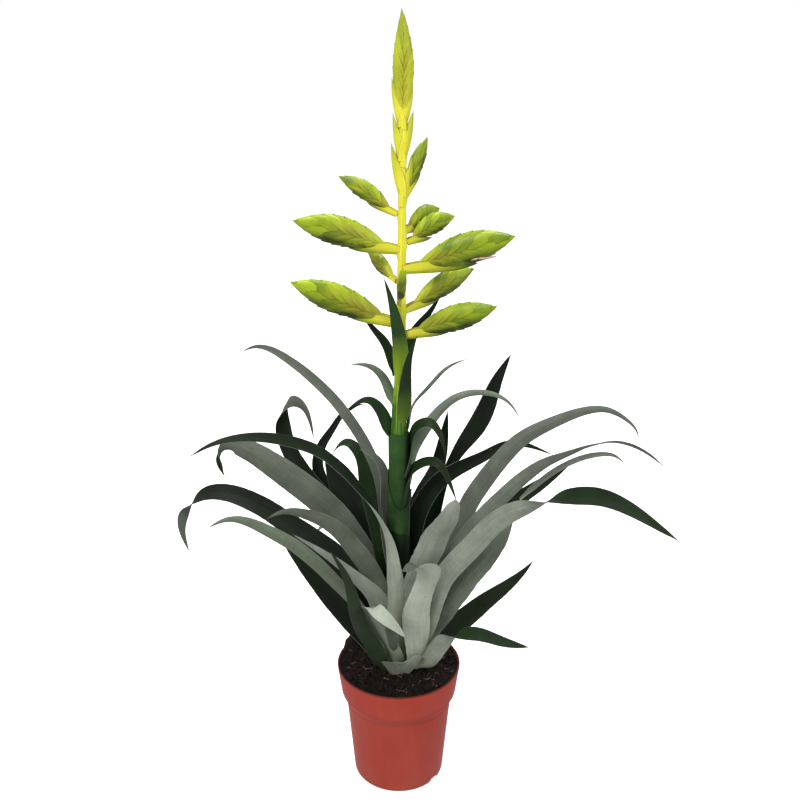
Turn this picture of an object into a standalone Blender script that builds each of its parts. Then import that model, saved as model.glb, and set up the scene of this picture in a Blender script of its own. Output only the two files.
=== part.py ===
"""A bromeliad in flower in a 12 cm nursery pot. Each leaf, bract and spike is a solid of its own.

Metres, +Z up. The origin is the centre of the pot's underside, and the front of the plant faces -Y.
Each leaf, bract and spike is laid out in its own upright plane through the stem: how far OUT from the
stem's axis, how far UP from the surface that the pot stands on, and how far to the SIDE of the plane.
Those three are in millimetres. An azimuth is in degrees, from +X (the right) towards +Y (the back).
"""

import math

import bmesh
import bpy
import numpy as np

MM = 0.001

# Pot: a thin-walled nursery pot with a collar
POT_HEIGHT = 0.122
RIM_RADIUS = 0.060
COLLAR_FOOT_RADIUS = 0.0562
COLLAR_FOOT = 0.0925
STEP_RADIUS = 0.0515
STEP_FOOT = 0.085
FOOT_RADIUS = 0.0443
FOOT_ROUND = 0.003
WALL = 0.0015
LIP_ROUND = WALL / 3
FLOOR = 0.002
DRAIN_HOLES = 6
DRAIN_SIDES = 16
DRAIN_RADIUS = 0.0035
DRAIN_CIRCLE = 0.026
NOTCH_AZIMUTHS = (-38, 142)
NOTCH_SIZE = (0.010, 0.013, 0.009)

# Soil: a root ball that fills the pot and is heaped up a little round the plant
GAP = 0.0003
SOIL_EDGE_TOP = 0.1175
SOIL_HEAP = -0.001
SOIL_CROWN_RADIUS = 0.035
SOIL_LUMP = 0.014
SOIL_LUMP_AT = (-0.040, 0.026)
SOIL_LUMP_SPREAD = 0.010
SOIL_WAVE = 0.0012
SOIL_WAVES_PER_METRE = (210, 170, 130)
SOIL_RINGS = 7

# Stem: the rooted stock, the crown that the leaves sit on, and the flower stalk, in one piece
STOCK_RADIUS = 0.014
STOCK_FOOT = 0.092
# height, radius and lean to the right of the stem's axis
STEM_LINE = (
    (0.120, 0.0140, 0),
    (0.140, 0.0115, 0),
    (0.160, 0.0090, 0),
    (0.185, 0.0075, 0),
    (0.230, 0.0090, 0),
    (0.262, 0.0095, 0.0005),
    (0.330, 0.0085, 0.0005),
    (0.362, 0.0078, 0),
    (0.368, 0.0058, 0),
    (0.410, 0.0050, 0.0010),
    (0.455, 0.0044, 0.0020),
    (0.510, 0.0040, 0.0028),
    (0.568, 0.0036, 0.0033),
    (0.615, 0.0026, 0.0037),
    (0.648, 0.0014, 0.0040),
)
STEM_ROUNDNESS = 5

TURN_STEPS = 36

# Leaves and bracts
LEAF_THICKNESS = 0.0010
LEAF_STATIONS = 14
BRACT_STATIONS = 7
LEAF_TIP_SHARE = 0.07
LEAF_BASE_SHARE = 0.6
LEAF_BASE_LENGTH = 0.25
LEAF_CHANNEL = 0.44
LEAF_CHANNEL_LEFT_AT_TIP = 0.4
LEAF_CLASP_LENGTH = 0.35

# name, azimuth, width, centre line from base to tip as (out, up) or (out, up, side)
LEAVES = (
    ("leaf_left_high", 150, 14, (
        (11, 236), (14, 265), (20, 312), (54, 368), (117, 412), (158, 420), (177, 411),
    )),
    ("leaf_left_long", 215, 19, (
        (9, 150, 10), (10, 195, 9), (12, 230, 8), (20, 274, 4), (50, 327), (84, 364), (118, 383),
        (156, 394), (186, 393), (203, 387),
    )),
    ("leaf_left_broad", 168, 22, (
        (14, 185, -4), (32, 228, -3), (62, 273, -1), (105, 309), (143, 332), (162, 336), (173, 326),
        (169, 302),
    )),
    ("leaf_left_low", 165, 22, (
        (14, 150), (29, 190), (55, 222), (110, 258), (161, 281), (188, 281), (212, 265), (224, 242),
        (217, 209),
    )),
    ("leaf_left_silver", 207, 22, (
        (15, 178, 4), (30, 230, 3), (48, 261, 1), (66, 284), (90, 301), (114, 309), (130, 305),
    )),
    ("leaf_front_left_thin", 200, 13, (
        (18, 140), (35, 182), (58, 216), (95, 262), (125, 287), (160, 303), (178, 297),
    )),
    ("leaf_front_left_silver", 222, 16, (
        (17, 142), (26, 200), (43, 224), (66, 250), (98, 282), (121, 303),
    )),
    ("leaf_left_short", 165, 16, ((19, 128), (32, 150), (59, 184), (98, 222), (114, 236))),
    ("leaf_front_left_upright", 231, 16, ((20, 121), (36, 150), (58, 196), (72, 243), (94, 283))),
    ("leaf_back_left_curled", 140, 19, (
        (15, 172, -2), (48, 229, -2), (94, 267), (129, 295), (149, 328), (151, 356), (138, 372),
        (122, 370), (112, 352), (108, 331),
    )),
    ("leaf_back_left_thin", 128, 10, (
        (17, 168, -2), (50, 206, -1), (90, 233), (119, 262), (134, 283), (123, 314), (107, 333), (89, 354),
        (72, 366), (54, 374), (38, 369),
    )),
    ("leaf_inner_left_curl", 152, 11, (
        (11, 220), (17, 238), (25, 270), (36, 307), (43, 338), (54, 343), (65, 334), (72, 325),
    )),
    ("leaf_back_dark", 138, 22, ((12, 206), (26, 234), (55, 266), (81, 291), (98, 310))),
    ("leaf_inner_left_small", 176, 8, ((13, 292), (15, 328), (25, 341), (36, 346))),
    ("leaf_right_upright", 40, 19, (
        (11, 190), (38, 252), (64, 312), (86, 335), (103, 350), (122, 382), (144, 410),
    )),
    ("leaf_inner_right", 60, 16, (
        (12, 208), (20, 250), (36, 276), (55, 288), (76, 301), (88, 325), (97, 354),
    )),
    ("leaf_back_right_dark", 20, 16, (
        (13, 225), (18, 275), (42, 310), (86, 328), (110, 336), (140, 328), (161, 317),
    )),
    ("leaf_right_high", -12, 22, (
        (15, 168), (28, 212), (52, 264), (66, 300), (88, 338), (113, 368), (139, 385), (165, 397),
        (182, 399), (198, 392), (208, 382), (211, 371),
    )),
    ("leaf_right_middle", -26, 18, (
        (16, 152), (28, 197), (45, 234), (80, 293), (102, 322), (137, 358), (164, 375), (198, 387),
        (226, 379), (239, 370),
    )),
    ("leaf_right_short_dark", 30, 15, (
        (14, 166, 3), (60, 222, 2), (98, 247), (134, 263), (173, 277), (211, 294),
    )),
    ("leaf_right_long", -38, 20, (
        (18, 138), (34, 182), (48, 226), (76, 267), (111, 311), (146, 335), (185, 352), (203, 355),
        (238, 347), (267, 335),
    )),
    ("leaf_right_broad", -18, 22, (
        (19, 132, 2), (37, 167, 2), (53, 198, 1), (73, 229), (90, 254), (103, 282),
    )),
    ("leaf_right_low", 14, 18, ((19, 124), (52, 148), (95, 177), (129, 201), (136, 209))),
    ("leaf_right_lowest", -36, 14, (
        (19, 120), (36, 138), (50, 164), (75, 184), (93, 190), (112, 190), (140, 193),
    )),
    ("leaf_inner_silver", -48, 24, (
        (13, 186, 4), (25, 222, 3), (40, 254), (55, 288), (74, 322), (78, 338),
    )),
    ("leaf_front_folded", 270, 20, (
        (20, 140, 17), (26, 165, 19), (34, 195, 16), (41, 223, 19), (49, 248, 24), (56, 258, 22),
        (61, 261, 12), (64, 258, 2),
    )),
    ("leaf_front_curl", 270, 15, (
        (20, 140, -4), (27, 165, -13), (36, 190, -23), (45, 207, -27), (54, 214, -23), (60, 209, -13),
        (62, 199, -2), (61, 187, 7),
    )),
    ("sheath_front_left", 262, 12, ((19, 119), (30, 137), (40, 147))),
    ("sheath_front", 297, 12, ((19, 119), (27, 132), (37, 151))),
    ("leaf_back_arch", 88, 20, ((17, 135), (45, 190), (100, 235), (150, 235), (190, 210), (215, 175))),
    ("leaf_back_right_low", 58, 19, ((18, 128), (60, 165), (115, 195), (160, 195), (200, 170))),
    ("leaf_back_left_low", 118, 19, ((18, 128), (60, 170), (115, 200), (160, 198), (198, 172))),
)

# The bracts on the flower stalk, in the same form
BRACTS = (
    ("bract_front_green", 270, 13, ((7, 430, 2), (10, 458), (15, 481, -4), (22, 510, -12))),
    ("bract_front_dark", 280, 14, ((10, 385, 2), (14, 412, 3), (19, 438, 5), (25, 461, 12))),
    ("bract_left_upper", 162, 8, ((6, 428), (13, 447), (23, 458), (31, 467), (37, 473))),
    ("bract_right_upper", 32, 8, ((8, 442), (19, 458), (32, 470), (46, 488))),
    ("bract_left_middle", 186, 9, ((7, 398), (15, 418), (26, 427), (43, 429))),
    ("bract_left_lower", 186, 9, ((9, 366), (17, 386), (26, 395), (45, 388))),
    ("bract_right_thin", 24, 8, ((10, 368), (14, 386), (27, 399), (48, 418), (69, 424))),
    ("bract_right_curl", -22, 13, (
        (12, 325), (14, 355), (20, 373), (30, 377), (39, 368), (44, 355), (46, 345),
    )),
    ("bract_right_arch", 14, 9, (
        (13, 305), (17, 344), (29, 369), (52, 391), (76, 395), (103, 384), (117, 364),
    )),
    ("bract_right_low", -36, 12, ((13, 296), (14, 326), (24, 338), (42, 344), (56, 328), (64, 312))),
)

# Flower spikes
SPIKE_SIDES = 8
SPIKE_RINGS = 12
SPIKE_THICKNESS = 0.34
SPIKE_CORE = 0.0006
SPIKE_BELLY = 0.8
SPIKE_FULLNESS = 0.75
SPIKE_STALK = 0.24
SPIKE_SCALLOP = 0.10
SPIKE_BRACTS = 6

# name, azimuth, width, base, middle and tip of the spike's axis as (out, up)
SPIKES = (
    ("spike_left_upper", 166, 13, ((3, 560), (27, 577), (51, 589))),
    ("spike_left_middle", 188, 22, ((3, 530), (44, 545), (88, 556))),
    ("spike_left_lower", 184, 22, ((4, 466), (46, 485), (92, 503))),
    ("spike_back_left", 128, 12, ((4, 502), (21, 511), (42, 523))),
    ("spike_back_right", 62, 13, ((8, 545), (28, 554), (48, 559))),
    ("spike_right_upper", 14, 15, ((9, 536), (28, 549), (49, 556))),
    ("spike_right_middle", -10, 24, ((9, 514), (54, 531), (98, 544))),
    ("spike_right_inner", 24, 18, ((9, 477), (38, 493), (72, 507))),
    ("spike_right_lower", -16, 20, ((9, 456), (46, 472), (86, 486))),
    ("spike_front", 276, 9, ((6, 485), (22, 500), (38, 520))),
    ("spike_top_right_outer", 10, 9, ((9, 568), (14, 593), (24, 621))),
    ("spike_top_left_lower", 186, 8, ((2, 580), (5, 600), (6, 622))),
    ("spike_top_right_inner", 350, 7, ((8, 603), (11, 623), (13, 647))),
    ("spike_top_left_upper", 176, 7, ((1, 612), (3, 633), (4, 656))),
    ("spike_top", 0, 17, ((3, 649), (4, 684), (3, 719.5))),
)

POT_COLOUR = (0.47, 0.075, 0.052)
SOIL_COLOUR = (0.018, 0.011, 0.008)
STEM_COLOUR = (0.36, 0.42, 0.05)
SILVER_COLOUR = (0.30, 0.34, 0.28)
GREEN_COLOUR = (0.030, 0.062, 0.036)
BRACT_COLOUR = (0.040, 0.095, 0.035)
SPIKE_COLOUR = (0.33, 0.50, 0.035)
SILVER_LEAVES = ("silver", "folded", "curl", "sheath", "high", "broad")


def clear_scene():
    for thing in list(bpy.data.objects):
        bpy.data.objects.remove(thing)


def material(name, colour, roughness):
    made = bpy.data.materials.new(name)
    made.use_nodes = True
    shader = made.node_tree.nodes["Principled BSDF"]
    shader.inputs["Base Color"].default_value = (*colour, 1)
    shader.inputs["Roughness"].default_value = roughness
    shader.inputs["Metallic"].default_value = 0
    return made


def collection(name):
    made = bpy.data.collections.new(name)
    bpy.context.scene.collection.children.link(made)
    return made


def add_object(name, mesh, into, colour, roughness=0.6):
    thing = bpy.data.objects.new(name, mesh)
    mesh.materials.append(material(name, colour, roughness))
    into.objects.link(thing)
    return thing


def applied(thing):
    """The object's mesh with its modifiers applied."""
    bpy.context.view_layer.update()
    graph = bpy.context.evaluated_depsgraph_get()
    return bpy.data.meshes.new_from_object(thing.evaluated_get(graph))


def turned(name, profile, into, colour, roughness):
    """A solid of revolution. The profile is (radius, height), up the inner side and down the outer side."""
    mesh = bpy.data.meshes.new(name)
    points = [(radius, 0, height) for radius, height in profile]
    edges = [(i, i + 1) for i in range(len(points) - 1)]
    mesh.from_pydata(points, edges, [])
    thing = add_object(name, mesh, into, colour, roughness)
    screw = thing.modifiers.new("Screw", "SCREW")
    screw.steps = TURN_STEPS
    screw.render_steps = TURN_STEPS
    screw.use_merge_vertices = True
    screw.merge_threshold = 0.0001
    screw.use_smooth_shade = True
    return thing


def curve_through(points, count):
    """Evenly spread points on the natural cubic spline through the given ones."""
    points = np.array(points, float)
    knots = np.concatenate([[0], np.cumsum(np.linalg.norm(np.diff(points, axis=0), axis=1))])
    steps = np.diff(knots)
    size = len(points)
    system = np.eye(size)
    right = np.zeros(points.shape)
    for i in range(1, size - 1):
        system[i, i - 1 : i + 2] = steps[i - 1], 2 * (steps[i - 1] + steps[i]), steps[i]
        slopes = (points[i + 1] - points[i]) / steps[i] - (points[i] - points[i - 1]) / steps[i - 1]
        right[i] = 6 * slopes
    bends = np.linalg.solve(system, right)
    found = []
    for at in np.linspace(0, knots[-1], count):
        i = min(int(np.searchsorted(knots, at, side="right")) - 1, size - 2)
        step = steps[i]
        after = at - knots[i]
        before = knots[i + 1] - at
        ends = points[i] * before + points[i + 1] * after
        curved = bends[i] * (before**3 / step - before * step)
        curved = curved + bends[i + 1] * (after**3 / step - after * step)
        found.append(ends / step + curved / 6)
    return np.array(found)


def plane_axes(azimuth):
    """The unit vectors out, up and side of the upright plane at this azimuth."""
    angle = math.radians(azimuth)
    out = np.array([math.cos(angle), math.sin(angle), 0])
    side = np.array([-math.sin(angle), math.cos(angle), 0])
    return out, np.array([0, 0, 1]), side


def placed_line(azimuth, line, count):
    """The centre line in metres and in world axes, with its direction at each point."""
    out, up, side = plane_axes(azimuth)
    full = [(*point, 0)[:3] for point in line]
    local = curve_through(full, count) * MM
    points = local @ np.array([out, up, side])
    ahead = np.gradient(points, axis=0)
    return points, ahead / np.linalg.norm(ahead, axis=1)[:, None]


def leaf_half_width(share, width):
    """Half of the blade's width at this share of its length: narrow at the base, and out to a fine tip."""
    opening = min(1, LEAF_BASE_SHARE + (1 - LEAF_BASE_SHARE) * share / LEAF_BASE_LENGTH)
    return 0.5 * width * opening * max(LEAF_TIP_SHARE, 1 - share**3)


def leaf(name, azimuth, width, line, stations, into, colour):
    """A channelled strap: an open grid laid along the centre line, thickened by Solidify."""
    points, ahead = placed_line(azimuth, line, stations)
    side = plane_axes(azimuth)[2]
    shape = bmesh.new()
    bmesh.ops.create_grid(shape, x_segments=2, y_segments=stations - 1, size=1)
    for vertex in shape.verts:
        across = vertex.co.x
        share = (vertex.co.y + 1) / 2
        station = round(share * (stations - 1))
        clasping = max(0, 1 - share / LEAF_CLASP_LENGTH)
        round_stem = np.cross((0, 0, 1), points[station] * (1, 1, 0))
        level = side * (1 - clasping) + round_stem / np.linalg.norm(round_stem) * clasping
        level -= ahead[station] * np.dot(level, ahead[station])
        level /= np.linalg.norm(level)
        upper = np.cross(ahead[station], level)
        half = leaf_half_width(share, width * MM)
        rise = LEAF_CHANNEL * half * abs(across) * (1 - (1 - LEAF_CHANNEL_LEFT_AT_TIP) * share)
        vertex.co = points[station] + level * half * across + upper * rise
    mesh = bpy.data.meshes.new(name)
    shape.to_mesh(mesh)
    shape.free()
    thing = add_object(name, mesh, into, colour)
    shell = thing.modifiers.new("Solidify", "SOLIDIFY")
    shell.thickness = LEAF_THICKNESS
    shell.offset = 0
    mesh.shade_smooth()
    return thing


def spike_half_width(share, width, upper):
    """Half of the blade's height: a short stalk, a broad middle, a point, and a scallop for each bract."""
    body = math.sin(math.pi * share**SPIKE_BELLY) ** SPIKE_FULLNESS if share < 1 else 0
    stalk = SPIKE_STALK * (1 - share)
    phase = share * SPIKE_BRACTS + (0 if upper else 0.5)
    scallop = 1 - SPIKE_SCALLOP * (1 - phase % 1)
    return 0.5 * width * max(body * scallop, stalk)


def spike(name, azimuth, width, line, into):
    """A flat spindle with its blade in the upright plane, shaped from a sphere."""
    points, ahead = placed_line(azimuth, line, SPIKE_RINGS + 1)
    side = plane_axes(azimuth)[2]
    shape = bmesh.new()
    bmesh.ops.create_uvsphere(shape, u_segments=SPIKE_SIDES, v_segments=SPIKE_RINGS, radius=1)
    for vertex in shape.verts:
        ring = round((0.5 - math.asin(max(-1, min(1, vertex.co.z))) / math.pi) * SPIKE_RINGS)
        station = SPIKE_RINGS - ring
        share = station / SPIKE_RINGS
        round_part = vertex.co.xy.length
        turn = vertex.co.xy / round_part if round_part > 1e-6 else vertex.co.xy
        rise = np.cross(side, ahead[station])
        upper = spike_half_width(share, width * MM, True)
        lower = spike_half_width(share, width * MM, False)
        middle = 0.5 * (upper + lower)
        height = turn.x * (upper if turn.x < 0 else lower)
        depth = turn.y * (SPIKE_THICKNESS * middle + SPIKE_CORE)
        if station in (0, SPIKE_RINGS):
            height = depth = 0
        vertex.co = points[station] + rise * height + side * depth
    bmesh.ops.recalc_face_normals(shape, faces=shape.faces)
    mesh = bpy.data.meshes.new(name)
    shape.to_mesh(mesh)
    shape.free()
    mesh.shade_smooth()
    return add_object(name, mesh, into, SPIKE_COLOUR, 0.5)


def pot_profile():
    """Up the inside from the floor, over the lip and down the outside."""
    return (
        (0, FLOOR),
        (FOOT_RADIUS - WALL - FOOT_ROUND, FLOOR),
        (FOOT_RADIUS - WALL, FLOOR + FOOT_ROUND),
        (STEP_RADIUS - WALL, STEP_FOOT + WALL),
        (COLLAR_FOOT_RADIUS - WALL, COLLAR_FOOT + WALL),
        (RIM_RADIUS - WALL, POT_HEIGHT - LIP_ROUND),
        (RIM_RADIUS - WALL + LIP_ROUND, POT_HEIGHT),
        (RIM_RADIUS - LIP_ROUND, POT_HEIGHT),
        (RIM_RADIUS, POT_HEIGHT - LIP_ROUND),
        (COLLAR_FOOT_RADIUS, COLLAR_FOOT),
        (STEP_RADIUS, STEP_FOOT),
        (FOOT_RADIUS, FOOT_ROUND),
        (FOOT_RADIUS - 0.3 * FOOT_ROUND, 0.3 * FOOT_ROUND),
        (FOOT_RADIUS - FOOT_ROUND, 0),
        (0, 0),
    )


def cut(thing, cutter):
    cutter.hide_render = True
    cutter.display_type = "WIRE"
    boolean = thing.modifiers.new(cutter.name, "BOOLEAN")
    boolean.object = cutter


def drain_cutters(into):
    """Round holes through the floor, and two notches through the bottom corner."""
    cutters = []
    for number in range(DRAIN_HOLES):
        angle = 2 * math.pi * number / DRAIN_HOLES
        shape = bmesh.new()
        bmesh.ops.create_cone(
            shape,
            cap_ends=True,
            segments=DRAIN_SIDES,
            radius1=DRAIN_RADIUS,
            radius2=DRAIN_RADIUS,
            depth=4 * FLOOR,
        )
        mesh = bpy.data.meshes.new(f"drain_{number}")
        shape.to_mesh(mesh)
        shape.free()
        hole = bpy.data.objects.new(f"drain_{number}", mesh)
        hole.location = (DRAIN_CIRCLE * math.cos(angle), DRAIN_CIRCLE * math.sin(angle), FLOOR / 2)
        cutters.append(hole)
    for number, azimuth in enumerate(NOTCH_AZIMUTHS):
        shape = bmesh.new()
        bmesh.ops.create_cube(shape, size=1)
        bmesh.ops.scale(shape, vec=NOTCH_SIZE, verts=shape.verts)
        mesh = bpy.data.meshes.new(f"notch_{number}")
        shape.to_mesh(mesh)
        shape.free()
        notch = bpy.data.objects.new(f"notch_{number}", mesh)
        angle = math.radians(azimuth)
        notch.location = (FOOT_RADIUS * math.cos(angle), FOOT_RADIUS * math.sin(angle), 0)
        notch.rotation_euler.z = angle
        cutters.append(notch)
    for cutter in cutters:
        into.objects.link(cutter)
    return cutters


def pot(into, cutters_into):
    thing = turned("pot", pot_profile(), into, POT_COLOUR, 0.55)
    for cutter in drain_cutters(cutters_into):
        cut(thing, cutter)


def inner_pot_radius(height):
    """The pot's inside radius, less the gap."""
    slope = (STEP_RADIUS - FOOT_RADIUS) / (STEP_FOOT + WALL - FLOOR - FOOT_ROUND)
    return FOOT_RADIUS - WALL + slope * (height - FLOOR - FOOT_ROUND) - GAP


def soil_top(x, y):
    """The height of the soil: hollow round the plant, with a lump at the back left and shallow waves."""
    radius = math.hypot(x, y)
    heap = SOIL_HEAP * math.exp(-((radius / SOIL_CROWN_RADIUS) ** 2))
    away = math.hypot(x - SOIL_LUMP_AT[0], y - SOIL_LUMP_AT[1])
    lump = SOIL_LUMP * math.exp(-((away / SOIL_LUMP_SPREAD) ** 2))
    first, second, third = SOIL_WAVES_PER_METRE
    wave = SOIL_WAVE * (math.sin(first * x + 1) + math.sin(second * y) * math.cos(third * x))
    return SOIL_EDGE_TOP + heap + lump + wave * min(1, radius / SOIL_CROWN_RADIUS)


def soil(into):
    inside = STOCK_RADIUS + GAP
    collar_radius = COLLAR_FOOT_RADIUS - WALL - GAP
    collar_share = (SOIL_EDGE_TOP - COLLAR_FOOT - WALL) / (POT_HEIGHT - COLLAR_FOOT - WALL)
    edge_radius = collar_radius + (RIM_RADIUS - COLLAR_FOOT_RADIUS) * collar_share - GAP
    profile = [(0, STOCK_FOOT - GAP), (inside, STOCK_FOOT - GAP)]
    profile += [(radius, SOIL_EDGE_TOP) for radius in np.linspace(inside, edge_radius, SOIL_RINGS)]
    profile += [
        (collar_radius, COLLAR_FOOT + WALL + GAP),
        (inner_pot_radius(STEP_FOOT), STEP_FOOT + WALL + GAP),
        (inner_pot_radius(FLOOR + FOOT_ROUND), FLOOR + FOOT_ROUND + GAP),
        (FOOT_RADIUS - WALL - FOOT_ROUND - GAP, FLOOR + GAP),
        (0, FLOOR + GAP),
    ]
    thing = turned("soil", profile, into, SOIL_COLOUR, 0.95)
    whole = applied(thing)
    thing.modifiers.clear()
    thing.data = whole
    for vertex in whole.vertices:
        if vertex.co.z > SOIL_EDGE_TOP - GAP:
            vertex.co.z = soil_top(vertex.co.x, vertex.co.y)


def stem(into):
    """A tube along the stem's axis, with its own radius at each point, and closed ends."""
    curve = bpy.data.curves.new("stem", "CURVE")
    curve.dimensions = "3D"
    curve.bevel_depth = 1
    curve.bevel_resolution = STEM_ROUNDNESS
    curve.use_fill_caps = True
    spline = curve.splines.new("POLY")
    line = ((STOCK_FOOT, STOCK_RADIUS, 0), *STEM_LINE)
    spline.points.add(len(line) - 1)
    for point, (height, radius, lean) in zip(spline.points, line):
        point.co = (lean, 0, height, 1)
        point.radius = radius
    add_object("stem", curve, into, STEM_COLOUR, 0.55)


def main():
    clear_scene()
    plant = collection("potted_bromeliad")
    cutters = collection("cutters")
    pot(plant, cutters)
    soil(plant)
    stem(plant)
    for name, azimuth, width, line in LEAVES:
        colour = SILVER_COLOUR if any(word in name for word in SILVER_LEAVES) else GREEN_COLOUR
        leaf(name, azimuth, width, line, LEAF_STATIONS, plant, colour)
    for name, azimuth, width, line in BRACTS:
        leaf(name, azimuth, width, line, BRACT_STATIONS, plant, BRACT_COLOUR)
    for name, azimuth, width, line in SPIKES:
        spike(name, azimuth, width, line, plant)


main()
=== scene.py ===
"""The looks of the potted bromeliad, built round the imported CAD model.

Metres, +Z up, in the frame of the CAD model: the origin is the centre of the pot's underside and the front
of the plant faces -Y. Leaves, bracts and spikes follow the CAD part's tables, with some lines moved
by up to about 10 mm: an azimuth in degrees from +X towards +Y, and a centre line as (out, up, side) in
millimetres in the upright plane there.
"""

import math
import random

import bmesh
import bpy
import numpy as np
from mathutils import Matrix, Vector, noise


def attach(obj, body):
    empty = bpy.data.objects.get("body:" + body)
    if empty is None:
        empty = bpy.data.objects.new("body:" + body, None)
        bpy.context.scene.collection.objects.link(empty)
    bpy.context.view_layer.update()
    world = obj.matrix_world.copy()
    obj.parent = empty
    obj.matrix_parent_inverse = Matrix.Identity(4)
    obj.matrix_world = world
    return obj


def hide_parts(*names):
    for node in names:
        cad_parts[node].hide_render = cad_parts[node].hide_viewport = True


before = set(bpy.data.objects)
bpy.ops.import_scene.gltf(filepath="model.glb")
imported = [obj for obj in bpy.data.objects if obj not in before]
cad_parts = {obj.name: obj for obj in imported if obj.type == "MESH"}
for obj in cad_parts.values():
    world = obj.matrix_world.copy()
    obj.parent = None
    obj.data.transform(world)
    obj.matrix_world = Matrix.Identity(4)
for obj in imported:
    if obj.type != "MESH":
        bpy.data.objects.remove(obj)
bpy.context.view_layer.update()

MM = 0.001
UP = np.array([0.0, 0.0, 1.0])

# ---------------------------------------------- tables

# A leaf's look. FACE turns the blade about its own line, in degrees, at even steps from its base to its tip:
# positive shows the upper side at the front, negative the underside. SHAPE is the width at even steps, as a
# share of the width in the table. UNDER and UPPER say how silvery each side is, from 0 to 1, BASE how wide
# the sheath is, FRESH how bright the green is, BASE_FRESH how much more so at the base, LIME how much the
# base takes the stalk's colour, RAGGED how uneven the margins are, and CLASP how long the sheath is.
LEAF_LOOK = {
    "face": (0, 0),
    "shape": (0.95, 1, 1, 0.98, 0.92, 0.66, 0.02),
    "under": 0.80,
    "upper": 0.012,
    "base": 1.0,
    "fresh": 0.0,
    "ragged": 0.03,
    "clasp": 1.0,
    "base_fresh": 0.0,
    "lime": 0.0,
}
SHOWS_UPPER = (30, 62, 66, 66, 60)
SHOWS_UNDER = (-45, -92, -104, -104, -98)
SHEATH_SHAPE = (0.9, 1, 1, 0.85, 0.5, 0.05)

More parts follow.
